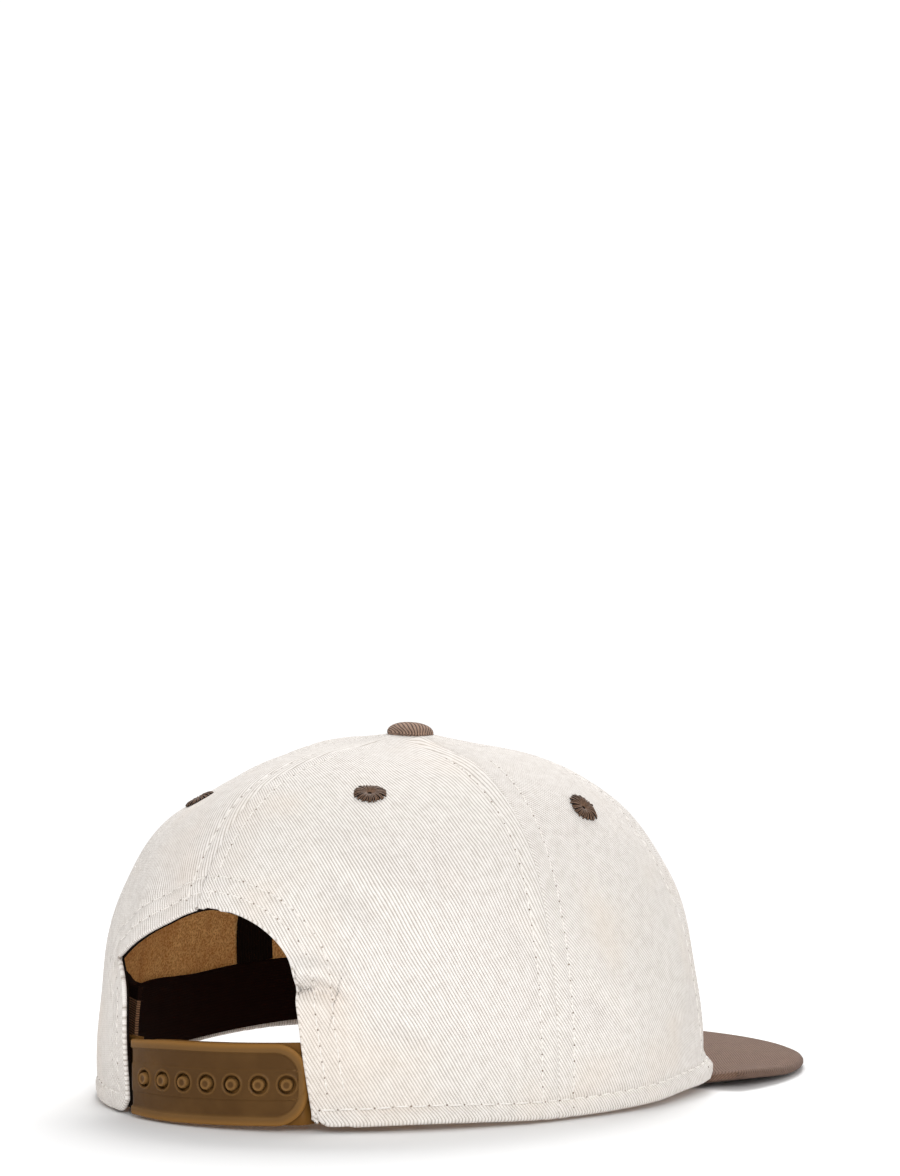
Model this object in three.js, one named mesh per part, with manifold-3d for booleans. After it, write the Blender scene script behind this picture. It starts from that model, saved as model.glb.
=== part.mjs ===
import * as THREE from "three";
import Module from "manifold-3d";

// Five-panel cap with a flat peak, an arched opening at the back and a seven-hole snap strap.
// Millimetres, Z up. The peak points toward -Y and the wearer's right is -X.
// A turn around the button is in degrees: 0 is where the centre seam leaves it, 90 the wearer's
// right, 180 the front and 270 the wearer's left. The soft crown is a little twisted: the middle
// of the arch, the rim and the peak lie TWIST farther round than the seams at the button.

const wasm = await Module();
wasm.setup();

const RAD = Math.PI / 180;

// Crown: overall height above its rim, and how far its top sits behind the middle of the rim.
const CROWN_HEIGHT = 102;
const APEX_BACK = 2.5;
const BULGE_HEIGHT = 57;
// The cloth rises a little round the button.
const BUTTON_RISE = 3.0;
const BUTTON_RISE_RADIUS = 14;

// One row per eighth of a turn.
// reach: button axis to rim. round: how soon the top turns outward. dome: how soon it turns down.
// bulge: swelling at mid height. rim: height of the rim's lower edge.
const MERIDIANS = [
  { turn: 0,   reach: 105.7, round: 0.61, dome: 0.83, bulge: 1.6,  rim: -2.9 },
  { turn: 45,  reach: 94.7,  round: 0.85, dome: 0.60, bulge: -0.8, rim: -0.6 },
  { turn: 90,  reach: 87.2,  round: 0.54, dome: 0.96, bulge: 1.7,  rim: -0.7 },
  { turn: 135, reach: 90.5,  round: 0.75, dome: 0.78, bulge: -0.4, rim: 0.9 },
  { turn: 180, reach: 87.2,  round: 0.77, dome: 0.78, bulge: 1.1,  rim: -0.6 },
  { turn: 225, reach: 91.4,  round: 0.65, dome: 0.76, bulge: 0.0,  rim: -0.3 },
  { turn: 270, reach: 89.0,  round: 0.60, dome: 0.95, bulge: 1.9,  rim: -1.6 },
  { turn: 315, reach: 94.8,  round: 0.85, dome: 0.63, bulge: -1.0, rim: -4.5 },
];

// Soft dents pressed into the cloth. turn and down say where (down: 0 button, 1 rim).
const DENTS = [
  { turn: -38, down: 0.36, depth: 2.6, wide: 16, tall: 0.12 },
  { turn: 36,  down: 0.84, depth: 1.4, wide: 14, tall: 0.09 },
];

// How the cap sits: the front is raised, it leans a little toward the wearer's right,
// and it is moved so that its box stands centred on the origin.
const PITCH = 1.26 * RAD;
const LEAN = 2.1 * RAD;
const TWIST = 4.5;
const SIT = { x: -0.08, y: 21.24, z: 5.43 };

// Layers of the wall, measured inward from the outer face of the cloth.
const CLOTH = [0, 1.2];
const LINING = [1.56, 2.2];
const SEAM_TAPE = [3.05, 3.6];
const ARCH_TAPE = [3.45, 3.9];
const SWEATBAND = [3.0, 4.2];
const GAP = 0.3;

// Seams: turn at the rim, and how much farther round they start at the button.
const SEAMS = {
  centreBack: { atRim: 1.2, more: -1.2 },
  sideBackRight: { atRim: 70.5, more: 3 },
  frontRight: { atRim: 124, more: -3 },
  frontLeft: { atRim: 256.5, more: 8 },
  sideBackLeft: { atRim: 296, more: -7 },
};
const BUTTON_HOLE_RADIUS = 2.6;

// Arched opening. Heights are above the zero of the crown, turns are from its middle.
// bend: height where a leg begins. straight: how soon the leg reaches its turn at the rim.
const ARCH_MIDDLE = 4;
const ARCH_TOP = 59.8;
const ARCH_SIDES = {
  left: { sign: -1, bend: 41, atBend: 23.5, atRim: 15.6, fall: 1.5, shoulder: 0.9, straight: 6 },
  right: { sign: 1, bend: 40, atBend: 18.5, atRim: 22, fall: 2.0, shoulder: 1.9, straight: 1 },
};
// The share of an arch's half that lies above the bend, and how an edge is moved outward:
// by less nearer the top than ARCH_FULL_SPREAD degrees, at ARCH_MM_PER_DEGREE.
const ARCH_BEND_SHARE = 0.58;
const ARCH_FULL_SPREAD = 9;
const ARCH_MM_PER_DEGREE = 1.72;
// The left leg bulges over the opening's straight plan; the cloth beside it follows this far.
const BULGE_REACH = 34;

const TAPE_WIDTH = 12;
const TAPE_ABOVE_BAND = 2.2;
const ARCH_TAPE_WIDTH = 9;
const ARCH_TAPE_BACK = 0.8;
const SWEATBAND_HEIGHT = 23;
// The sweatband's ends lie this much farther inward, over the tabs of the strap. In degrees from
// the arch's leg: where the step is whole, and how long it takes.
const BAND_STEP = { inward: 3.9, whole: 9, run: 5 };
// Cross-sections of the sweatband: degrees from each leg, and even steps between.
const BAND_RIGHT_END = [1, 4, 8, 12.5, 19];
const BAND_LEFT_END = [52, 46, 38, 30, 22, 15, 11, 8, 4, 1];
const BAND_MIDDLE = { from: 52, to: 300, step: 8.7 };
const BAND_CLOSEST = 1.5;

// Peak: a flat board whose outer edge is an ellipse seen from above.
const PEAK = { halfWidth: 88, length: 84, middle: -65.8, endAngle: 99, rootTurn: 58, thick: 3.0 };
// Its sides rise a little off the surface, the wearer's left more than the right.
const PEAK_SIDE_RISE = { left: 3.4, right: 1.4 };
const PEAK_END_RISE = 2.0;
const PEAK_END_FROM = 78;
const PEAK_SHIFT = -0.4;

// Snap strap.
const STRAP_HEIGHT = 23.6;
const STRAP_THICK = 1.5;
const STRAP_MIDDLE = 12.9;
const STRAP_SLOPE = 0.03;
// The strap narrows by this share toward its left end, over so many mm.
const STRAP_TAPER = { share: 0.08, from: -5, run: 25 };
// Its path is measured in whole degrees, at this height above the rim.
const STRAP_PATH = { from: -34, to: 46, aboveRim: 11 };
const HOLE_PITCH = 8.37;
const FIRST_HOLE = -18.1;
const HOLE_COUNT = 7;
const HOLE_RADIUS = 2.6;
const PEG_RADIUS = 1.75;
const PEG_STAND = 0.6;
const STRAP_TIP = 38.2;
const STRAP_TAB = 11;
const STRAP_TAIL = 6.6;
const STRAP_GRID = 3.5;
const STRAP_ROUND = 9.5;
const OPENING = [-27.4, 39.1];
// The strap steps inward behind the cloth at both ends of the opening: how deep, how far
// inside the opening it begins, and over what length.
const STRAP_INSET = {
  left: { deep: 5.2, inside: 7.4, run: 10 },
  right: { deep: 2.9, inside: 12, run: 11.5 },
};

const BUTTON_RADIUS = 6.9;
const BUTTON_HEIGHT = 3.1;
const EYELET_RADIUS = 4.8;
const EYELET_HOLE = 0.8;
const EYELETS = [
  { name: "eyelet_back_right", turn: 30.2, down: 0.350 },
  { name: "eyelet_back_left", turn: -31, down: 0.415 },
  { name: "eyelet_side_right", turn: 96, down: 0.364 },
  { name: "eyelet_side_left", turn: -96, down: 0.364 },
];

// A smooth wave through the eight rows: every row counts 1 at its own turn and 0 at the others.
function share(turn, row) {
  const x = (turn - row) * RAD;
  const s = Math.tan(x / 2);
  if (Math.abs(s) < 1e-9) return 1;
  return Math.sin(4 * x) / (8 * s);
}

function meridian(turn) {
  const m = { reach: 0, round: 0, dome: 0, bulge: 0, rim: 0 };
  for (const row of MERIDIANS) {
    const w = share(turn, row.turn);
    for (const key of Object.keys(m)) m[key] += w * row[key];
  }
  return m;
}

// Outer face of the smooth crown. down runs from 0 at the button to 1 at the rim.
function smoothCrown(turn, down) {
  const m = meridian(turn);
  const out = Math.sin(down * Math.PI / 2) ** m.round;
  const up = Math.max(0, Math.cos(down * Math.PI / 2)) ** m.dome;
  const z = m.rim + (CROWN_HEIGHT - m.rim) * up;
  const swell = m.bulge * Math.sin(Math.PI * Math.min(1, up * CROWN_HEIGHT / BULGE_HEIGHT));
  const r = m.reach * out + swell;
  const back = APEX_BACK * z / CROWN_HEIGHT;
  const lifted = z + BUTTON_RISE * Math.exp(-((r / BUTTON_RISE_RADIUS) ** 2));
  return new THREE.Vector3(-r * Math.sin(turn * RAD), r * Math.cos(turn * RAD) + back, lifted);
}

function outward(turn, down) {
  const lower = Math.min(1, down + 0.004);
  const upper = Math.max(0.0005, lower - 0.008);
  const across = smoothCrown(turn + 0.4, down).sub(smoothCrown(turn - 0.4, down));
  const along = smoothCrown(turn, lower).sub(smoothCrown(turn, upper));
  return along.cross(across).normalize();
}

function dent(turn, down) {
  let depth = 0;
  for (const d of DENTS) {
    const a = (((turn - d.turn + 540) % 360) - 180) / d.wide;
    const b = (down - d.down) / d.tall;
    depth += d.depth * Math.exp(-a * a - b * b);
  }
  return depth;
}

// A point of the wall: depth is how far inside the outer face it lies.
function wall(turn, down, depth) {
  const n = outward(turn, down);
  return seat(smoothCrown(turn, down).addScaledVector(n, -depth - dent(turn, down)));
}

// Puts a point of the upright cap where it lies as the cap rests.
function seat(p) {
  const y = p.y * Math.cos(PITCH) + p.z * Math.sin(PITCH);
  const z = -p.y * Math.sin(PITCH) + p.z * Math.cos(PITCH);
  const x = p.x * Math.cos(LEAN) - z * Math.sin(LEAN);
  const up = p.x * Math.sin(LEAN) + z * Math.cos(LEAN);
  const [c, s] = [Math.cos(TWIST * RAD), Math.sin(TWIST * RAD)];
  return new THREE.Vector3(x * c + y * s + SIT.x, y * c - x * s + SIT.y, up + SIT.z);
}

// How far down the crown a height above its zero lies.
function downAt(turn, height) {
  const m = meridian(turn);
  const up = Math.min(1, Math.max(0, (height - m.rim) / (CROWN_HEIGHT - m.rim)));
  return Math.acos(up ** (1 / m.dome)) * 2 / Math.PI;
}

// A smooth step from 0 to 1.
function ease(x) {
  const t = Math.min(1, Math.max(0, x));
  return t * t * (3 - 2 * t);
}

function seamTurn(seam, down) {
  return seam.atRim + seam.more * (1 - down);
}

// Millimetres of cloth in one degree of turn at a place on the crown.
function perDegree(turn, down) {
  const p = smoothCrown(turn, down);
  return Math.max(1, Math.hypot(p.x, p.y - APEX_BACK * p.z / CROWN_HEIGHT)) * RAD;
}

// Height of a place on the crown above its zero.
function heightAt(turn, down) {
  const m = meridian(turn);
  return m.rim + (CROWN_HEIGHT - m.rim) * Math.max(0, Math.cos(down * Math.PI / 2)) ** m.dome;
}

// One half of the arch's edge: along runs from 0 at its top to 1 at the rim, and gives degrees
// from the arch's middle and a height.
function archHalf(side, along, wider) {
  if (along < ARCH_BEND_SHARE) {
    const q = along / ARCH_BEND_SHARE * Math.PI / 2;
    const rise = (ARCH_TOP + wider - side.bend) * Math.cos(q) ** (2 / side.shoulder);
    return { turn: side.atBend * Math.sin(q) ** (2 / side.fall), height: side.bend + rise };
  }
  const q = (along - ARCH_BEND_SHARE) / (1 - ARCH_BEND_SHARE);
  const low = meridian(ARCH_MIDDLE + side.sign * side.atRim).rim;
  const turn = side.atRim + (side.atBend - side.atRim) * (1 - q) ** side.straight;
  return { turn, height: side.bend + (low - side.bend) * q };
}

// The arch's edge as a place on the crown. wider moves it outward, in mm.
function archEdge(side, along, wider = 0) {
  const half = archHalf(side, along, wider);
  const spread = wider * Math.min(1, half.turn / ARCH_FULL_SPREAD) / ARCH_MM_PER_DEGREE;
  const turn = ARCH_MIDDLE + side.sign * (half.turn + spread);
  return { turn, down: downAt(turn, half.height) };
}

// The left leg as the panel is planned: straight, so that no column of cloth crosses the opening.
const LEFT_PLAN = { ...ARCH_SIDES.left, atBend: ARCH_SIDES.left.atRim };

// Moves a place of the planned left back panel, at its own height, to where the leg bulges.
function bulged(place) {
  const height = heightAt(place.turn, place.down);
  if (height >= ARCH_TOP) return place;
  let [low, high] = [0, 1];
  while (high - low > 1e-6) {
    const middle = (low + high) / 2;
    if (archHalf(LEFT_PLAN, middle, 0).height > height) low = middle;
    else high = middle;
  }
  const planned = archHalf(LEFT_PLAN, low, 0).turn;
  const beyond = ARCH_MIDDLE + 360 - place.turn - planned;
  const move = (archHalf(ARCH_SIDES.left, low, 0).turn - planned) * (1 - ease(beyond / BULGE_REACH));
  const turn = place.turn - move;
  return { turn, down: downAt(turn, height) };
}

// A closed body between two grids of points, front and back.
function slab(cols, rows, front, back) {
  const vertices = [];
  for (const face of [front, back]) {
    for (let j = 0; j <= rows; j++) {
      for (let i = 0; i <= cols; i++) vertices.push(...face(i, j).toArray());
    }
  }
  const half = (cols + 1) * (rows + 1);
  const id = (i, j) => j * (cols + 1) + i;
  const index = [];
  for (let j = 0; j < rows; j++) {
    for (let i = 0; i < cols; i++) {
      const [a, b, c, d] = [id(i, j), id(i + 1, j), id(i + 1, j + 1), id(i, j + 1)];
      index.push(a, b, c, a, c, d);
      index.push(half + a, half + c, half + b, half + a, half + d, half + c);
    }
  }
  const rim = [];
  for (let i = 0; i < cols; i++) rim.push([id(i, 0), id(i + 1, 0)]);
  for (let j = 0; j < rows; j++) rim.push([id(cols, j), id(cols, j + 1)]);
  for (let i = cols; i > 0; i--) rim.push([id(i, rows), id(i - 1, rows)]);
  for (let j = rows; j > 0; j--) rim.push([id(0, j), id(0, j - 1)]);
  for (const [a, b] of rim) index.push(a, half + a, b, b, half + a, half + b);
  return outwardFacing(vertices, index);
}

function outwardFacing(vertices, index) {
  let volume = 0;
  for (let k = 0; k < index.length; k += 3) {
    const [a, b, c] = [0, 1, 2].map((n) => new THREE.Vector3().fromArray(vertices, 3 * index[k + n]));
    volume += a.dot(b.cross(c));
  }
  if (volume < 0) {
    for (let k = 0; k < index.length; k += 3) [index[k + 1], index[k + 2]] = [index[k + 2], index[k + 1]];
  }
  const geometry = new THREE.BufferGeometry();
  geometry.setAttribute("position", new THREE.Float32BufferAttribute(vertices, 3));
  geometry.setIndex(index);
  return geometry;
}

function toManifold(geometry) {
  const vertProperties = new Float32Array(geometry.attributes.position.array);
  const triVerts = new Uint32Array(geometry.index.array);
  return new wasm.Manifold(new wasm.Mesh({ numProp: 3, vertProperties, triVerts }));
}

function fromManifold(solid) {
  const mesh = solid.getMesh();
  const geometry = new THREE.BufferGeometry();
  geometry.setAttribute("position", new THREE.Float32BufferAttribute(mesh.vertProperties, 3));
  geometry.setIndex(Array.from(mesh.triVerts));
  return geometry;
}

const group = new THREE.Group();
group.name = "five_panel_cap";

function add(name, geometry, finish) {
  geometry.computeVertexNormals();
  const mesh = new THREE.Mesh(geometry, new THREE.MeshStandardMaterial(finish));
  mesh.name = name;
  group.add(mesh);
}

const TWILL_BONE = { color: 0xefe9e2, roughness: 0.9, metalness: 0 };
const TWILL_BROWN = { color: 0x6f5a4d, roughness: 0.9, metalness: 0 };
const KRAFT_TAN = { color: 0x8a6236, roughness: 0.95, metalness: 0 };
const TAPE_DARK = { color: 0x1c130d, roughness: 0.9, metalness: 0 };
const THREAD_BROWN = { color: 0x59412f, roughness: 0.8, metalness: 0 };
const STRAP_AMBER = { color: 0x5a4326, roughness: 0.4, metalness: 0 };

// Crown panels and their linings.
// A column starts at the button and ends on the rim or on the arch, and its rows are spaced
// evenly along the cloth.
const PANEL_ROWS = 9;
const LENGTH_STEPS = 160;
const INSET_SHARE = 0.45;

function columnNodes(lowSeam, highSeam, startShare, end) {
  const width = (down) => seamTurn(highSeam, down) - seamTurn(lowSeam, down);
  const endShare = (end.turn - seamTurn(lowSeam, end.down)) / width(end.down);
  const place = (down) => {
    const t = down / end.down;
    const s = startShare + (endShare - startShare) * t * t;
    return { turn: seamTurn(lowSeam, down) + width(down) * s, down };
  };
  const m = meridian(place(0).turn);
  const first = Math.asin((BUTTON_HOLE_RADIUS / m.reach) ** (1 / m.round)) * 2 / Math.PI;
  const line = [];
  for (let k = 0; k <= LENGTH_STEPS; k++) {
    const spot = place(first + (end.down - first) * (k / LENGTH_STEPS) ** 2);
    const p = smoothCrown(spot.turn, spot.down);
    const length = k === 0 ? 0 : line[k - 1].length + p.distanceTo(line[k - 1].p);
    line.push({ spot, p, length });
  }
  const nodes = [];
  for (let j = 0; j <= PANEL_ROWS; j++) {
    const want = line[LENGTH_STEPS].length * j / PANEL_ROWS;
    let k = 1;
    while (k < LENGTH_STEPS && line[k].length < want) k++;
    const f = (want - line[k - 1].length) / (line[k].length - line[k - 1].length);
    const mix = (key) => line[k - 1].spot[key] + f * (line[k].spot[key] - line[k - 1].spot[key]);
    nodes.push({ turn: mix("turn"), down: mix("down") });
  }
  return nodes;
}

// Places along the rim, in even steps.
function rimRun(from, to, count) {
  return Array.from({ length: count + 1 }, (_, k) => ({ turn: from + (to - from) * k / count, down: 1 }));
}

// The rim from seam to seam: a strip of SEAM_STRIP degrees beside each seam, even steps between.
const SEAM_STRIP = 4.5;
function rimBetween(low, high, count) {
  const even = rimRun(low.atRim + SEAM_STRIP, high.atRim - SEAM_STRIP, count);
  return [{ turn: low.atRim, down: 1 }, ...even, { turn: high.atRim, down: 1 }];
}

const ARCH_STEPS = [0, 0.1, 0.2, 0.3, 0.4, 0.5, 0.58, 0.64, 0.72, 0.82, 1];
const CENTRE_SHARE = 0.65;
const ARCH_CUT = 0.4;
const TAPE_OVER_ARCH = 0.085;
const archRight = ARCH_STEPS.map((a) => archEdge(ARCH_SIDES.right, a));
// The left half's second step would lie beside the centre seam, so it is left out.
const archLeft = ARCH_STEPS.filter((_, k) => k !== 1).map((a) => archEdge(LEFT_PLAN, a));
const archTop = {
  turn: seamTurn(SEAMS.centreBack, CENTRE_SHARE),
  down: downAt(1, ARCH_TOP - ARCH_CUT),
};
archRight[0] = archTop;
archLeft[0] = archTop;
const wrap = (place) => ({ turn: place.turn + 360, down: place.down });
const centreBackAgain = { atRim: SEAMS.centreBack.atRim + 360, more: SEAMS.centreBack.more };
const rightEnd = archRight[archRight.length - 1].turn;
const leftEnd = archLeft[archLeft.length - 1].turn + 360;
const { sideBackRight, frontRight, frontLeft, sideBackLeft } = SEAMS;

// The lower edge of each panel is a list of places from its low seam to its high seam.
const PANELS = [
  {
    name: "back_right",
    low: SEAMS.centreBack,
    high: sideBackRight,
    edge: [...archRight, ...rimRun(rightEnd, sideBackRight.atRim, 5).slice(1)],
  },
  {
    name: "side_right",
    low: sideBackRight,
    high: frontRight,
    edge: rimBetween(sideBackRight, frontRight, 5),
  },
  { name: "front", low: frontRight, high: frontLeft, edge: rimBetween(frontRight, frontLeft, 12) },
  { name: "side_left", low: frontLeft, high: sideBackLeft, edge: rimBetween(frontLeft, sideBackLeft, 4) },
  {
    name: "back_left",
    low: sideBackLeft,
    high: centreBackAgain,
    edge: [...rimRun(sideBackLeft.atRim, leftEnd, 5), ...archLeft.map(wrap).reverse().slice(1)],
    moved: bulged,
  },
];

function panelNodes(panel) {
  const points = panel.edge.map((e) => smoothCrown(e.turn, e.down));
  const lengths = [0];
  for (let k = 1; k < points.length; k++) lengths.push(lengths[k - 1] + points[k].distanceTo(points[k - 1]));
  const whole = lengths[lengths.length - 1];
  const columns = panel.edge.map((e, k) => columnNodes(panel.low, panel.high, lengths[k] / whole, e));
  if (!panel.moved) return columns;
  // The last column lies on the centre seam and stays where it is.
  return columns.map((column, k) => (k < columns.length - 1 ? column.map(panel.moved) : column));
}

for (const panel of PANELS) {
  const nodes = panelNodes(panel);
  const cols = nodes.length - 1;
  // The first and last columns stand back from the seam by half the gap, or by less where the
  // next column is too close for that.
  const inset = (i, j) => {
    const spot = nodes[i][j];
    const sign = i === 0 ? 1 : i === cols ? -1 : 0;
    if (sign === 0) return spot.turn;
    const room = Math.abs(nodes[i + sign][j].turn - spot.turn);
    return spot.turn + sign * Math.min(GAP / 2 / perDegree(spot.turn, spot.down), INSET_SHARE * room);
  };
  const face = (depth) => (i, j) => wall(inset(i, j), nodes[i][j].down, depth);
  const outer = slab(cols, PANEL_ROWS, face(CLOTH[0]), face(CLOTH[1]));
  add(`panel_${panel.name}`, outer, TWILL_BONE);
  add(`lining_${panel.name}`, slab(cols, PANEL_ROWS, face(LINING[0]), face(LINING[1])), KRAFT_TAN);
}

// Seam tapes, inside the crown, from the sweatband or the arch up toward the button.
const TAPES = [
  { name: "seam_tape_centre_back", seam: SEAMS.centreBack, from: 0.12, foot: archTop.down - TAPE_OVER_ARCH },
  { name: "seam_tape_side_back_right", seam: sideBackRight, from: 0.20, finish: KRAFT_TAN },
  { name: "seam_tape_front_right", seam: frontRight, from: 0.09 },
  { name: "seam_tape_front_left", seam: frontLeft, from: 0.09 },
  { name: "seam_tape_side_back_left", seam: sideBackLeft, from: 0.20, finish: KRAFT_TAN },
];
for (const tape of TAPES) {
  const rimHeight = meridian(tape.seam.atRim).rim;
  const foot = tape.foot ?? downAt(tape.seam.atRim, rimHeight + SWEATBAND_HEIGHT + TAPE_ABOVE_BAND);
  const rows = 9;
  const face = (depth) => (i, j) => {
    const down = tape.from + (foot - tape.from) * j / rows;
    const middle = seamTurn(tape.seam, down);
    return wall(middle + (i - 1) * TAPE_WIDTH / 2 / perDegree(middle, down), down, depth);
  };
  add(tape.name, slab(2, rows, face(SEAM_TAPE[0]), face(SEAM_TAPE[1])), tape.finish ?? TAPE_DARK);
}

// Tape round the inside of the arch.
const RIM_CLEAR = 0.997;
const tapeRun = [
  ...[1, 0.86, 0.72, 0.58, 0.5, 0.38, 0.25, 0.12].map((a) => ({ side: ARCH_SIDES.left, a })),
  ...[0, 0.12, 0.25, 0.38, 0.5, 0.58, 0.72, 0.86, 1].map((a) => ({ side: ARCH_SIDES.right, a })),
];
const archTapeFace = (depth) => (i, j) => {
  const { side, a } = tapeRun[i];
  const spot = archEdge(side, a, ARCH_TAPE_BACK + ARCH_TAPE_WIDTH * j / 2);
  return wall(spot.turn, Math.min(spot.down, RIM_CLEAR), depth);
};
const archTape = slab(tapeRun.length - 1, 2, archTapeFace(ARCH_TAPE[0]), archTapeFace(ARCH_TAPE[1]));
add("arch_tape", archTape, TAPE_DARK);

// Sweatband: follows the wall and steps inward at its ends, over the tabs of the snap strap.
const sweatTurns = BAND_RIGHT_END.map((t) => rightEnd + t);
for (let t = BAND_MIDDLE.from; t <= BAND_MIDDLE.to; t += BAND_MIDDLE.step) sweatTurns.push(t);
sweatTurns.push(...BAND_LEFT_END.map((t) => leftEnd - t));
sweatTurns.sort((a, b) => a - b);
const sweatEdges = sweatTurns.filter((t, k) => k === 0 || t - sweatTurns[k - 1] > BAND_CLOSEST);
const endStep = (turn) => {
  const away = Math.min(turn - rightEnd, leftEnd - turn) - BAND_STEP.whole;
  return BAND_STEP.inward * Math.min(1, Math.max(0, 1 - away / BAND_STEP.run));
};
const sweatFace = (depth) => (i, j) => {
  const turn = sweatEdges[i];
  const top = downAt(turn, meridian(turn).rim + SWEATBAND_HEIGHT);
  return wall(turn, top + (RIM_CLEAR - top) * j / 2, depth + endStep(turn));
};
add("sweatband", slab(sweatEdges.length - 1, 2, sweatFace(SWEATBAND[0]), sweatFace(SWEATBAND[1])), TAPE_DARK);

// Peak: lofted from under the front rim out to its edge, which lies on the surface.
const PEAK_COLS = 22;
const PEAK_TUCK = 5;
const PEAK_REACH = [-1, 0, 0.3, 0.62, 0.9, 0.985, 1];
const PEAK_FULLNESS = [1, 1, 1, 1, 1, 0.86, 0.45];
const PEAK_END_FULLNESS = 0.6;
const peakPoint = (i, j) => {
  const f = 2 * i / PEAK_COLS - 1;
  const turn = 180 + TWIST + f * PEAK.rootTurn;
  const rim = wall(turn, 1, 0);
  const inner = wall(turn, 1, SWEATBAND[1] + 0.2);
  const lift = rim.z - GAP - PEAK.thick / 2;
  const angle = f * PEAK.endAngle * RAD;
  const edgeX = PEAK.halfWidth * Math.sin(angle) + SIT.x + PEAK_SHIFT;
  const edgeY = PEAK.middle - PEAK.length * Math.cos(angle) + SIT.y;
  const side = Math.min(1, (1 - Math.cos(angle)) ** 0.8);
  const end = Math.max(0, Math.abs(f) * PEAK.endAngle - PEAK_END_FROM) / (PEAK.endAngle - PEAK_END_FROM);
  const sideRise = f > 0 ? PEAK_SIDE_RISE.left : PEAK_SIDE_RISE.right;
  const edgeZ = PEAK.thick / 2 + sideRise * side + PEAK_END_RISE * end;
  // The first stretch, tucked under the rim, stays level.
  const tuck = Math.min(0.8, PEAK_TUCK / Math.hypot(edgeX - inner.x, edgeY - inner.y));
  const out = Math.max(0, PEAK_REACH[j]);
  const t = j === 0 ? 0 : tuck + (1 - tuck) * out;
  const x = inner.x + (edgeX - inner.x) * t;
  const y = inner.y + (edgeY - inner.y) * t;
  return new THREE.Vector3(x, y, lift + (edgeZ - lift) * out);
};
const peakFace = (sign) => (i, j) => {
  const end = i === 0 || i === PEAK_COLS ? PEAK_END_FULLNESS : 1;
  const p = peakPoint(i, j);
  p.z += sign * PEAK.thick / 2 * PEAK_FULLNESS[j] * end;
  return p;
};
add("peak", slab(PEAK_COLS, PEAK_REACH.length - 1, peakFace(1), peakFace(-1)), TWILL_BROWN);

// Snap strap. Its path follows the rim across the opening, seen from above.
const strapLine = [];
for (let turn = STRAP_PATH.from; turn <= STRAP_PATH.to; turn += 1) {
  const p = wall(turn, downAt(turn, meridian(turn).rim + STRAP_PATH.aboveRim), 0);
  const last = strapLine[strapLine.length - 1];
  const length = last ? last.length + Math.hypot(p.x - last.p.x, p.y - last.p.y) : 0;
  strapLine.push({ turn, p, length });
}
const strapZero = strapLine.find((q) => q.turn === ARCH_MIDDLE).length;
// Sideways place, height and depth on the strap to a point in space.
function strapPoint(s, height, depth) {
  let k = 1;
  while (k < strapLine.length - 1 && strapLine[k].length < s + strapZero) k++;
  const [a, b] = [strapLine[k - 1], strapLine[k]];
  const f = (s + strapZero - a.length) / (b.length - a.length);
  const before = strapLine[Math.max(0, k - 2)].p;
  const after = strapLine[Math.min(strapLine.length - 1, k + 1)].p;
  const tangent = new THREE.Vector2(after.x - before.x, after.y - before.y).normalize();
  const { left, right } = STRAP_INSET;
  const atLeft = left.deep * ease((OPENING[0] + left.inside - s) / left.run);
  const inset = atLeft + right.deep * ease((s - OPENING[1] + right.inside) / right.run);
  const d = inset + depth;
  const x = a.p.x + f * (b.p.x - a.p.x) - tangent.y * d;
  const y = a.p.y + f * (b.p.y - a.p.y) + tangent.x * d;
  const narrow = 1 - STRAP_TAPER.share * ease((STRAP_TAPER.from - s) / STRAP_TAPER.run);
  return new THREE.Vector3(x, y, STRAP_MIDDLE + STRAP_SLOPE * s + height * narrow);
}

// A strap blank: a plate with one rounded end.
function strapBlank(from, to, roundAtEnd, depth) {
  const stops = [];
  const straightEnd = roundAtEnd ? to - STRAP_ROUND : from + STRAP_ROUND;
  const far = roundAtEnd ? from : to;
  const steps = Math.round(Math.abs(straightEnd - far) / STRAP_GRID);
  for (let k = 0; k <= steps; k++) stops.push({ s: far + (straightEnd - far) * k / steps, half: 1 });
  for (const angle of [22, 42, 60, 75, 88]) {
    const s = straightEnd + (roundAtEnd ? 1 : -1) * STRAP_ROUND * Math.sin(angle * RAD);
    const half = 1 - STRAP_ROUND * (1 - Math.cos(angle * RAD)) / (STRAP_HEIGHT / 2);
    stops.push({ s, half });
  }
  const rows = 4;
  const face = (d) => (i, j) => {
    const h = STRAP_HEIGHT / 2 * stops[i].half * (2 * j / rows - 1);
    return strapPoint(stops[i].s, h, d);
  };
  return toManifold(slab(stops.length - 1, rows, face(depth), face(depth + STRAP_THICK)));
}

function roundBar(s, fromDepth, toDepth, radius) {
  const sides = 14;
  const face = (depth) => Array.from({ length: sides }, (_, k) => {
    const a = 2 * Math.PI * k / sides;
    return [radius * Math.cos(a), radius * Math.sin(a), depth];
  });
  const centre = strapPoint(s, 0, 0);
  const along = strapPoint(s + 0.5, 0, 0).sub(strapPoint(s - 0.5, 0, 0)).setZ(0).normalize();
  const inwardWay = new THREE.Vector3(-along.y, along.x, 0);
  const place = ([a, b, d]) => centre.clone().addScaledVector(along, a)
    .add(new THREE.Vector3(0, 0, b)).addScaledVector(inwardWay, d);
  const ring = [...face(fromDepth), ...face(toDepth)].map(place);
  const vertices = ring.flatMap((p) => p.toArray());
  const index = [];
  for (let k = 0; k < sides; k++) {
    const n = (k + 1) % sides;
    index.push(k, n, sides + n, k, sides + n, sides + k);
    if (k > 0 && k < sides - 1) {
      index.push(0, k + 1, k);
      index.push(sides, sides + k, sides + k + 1);
    }
  }
  return toManifold(outwardFacing(vertices, index));
}

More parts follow.
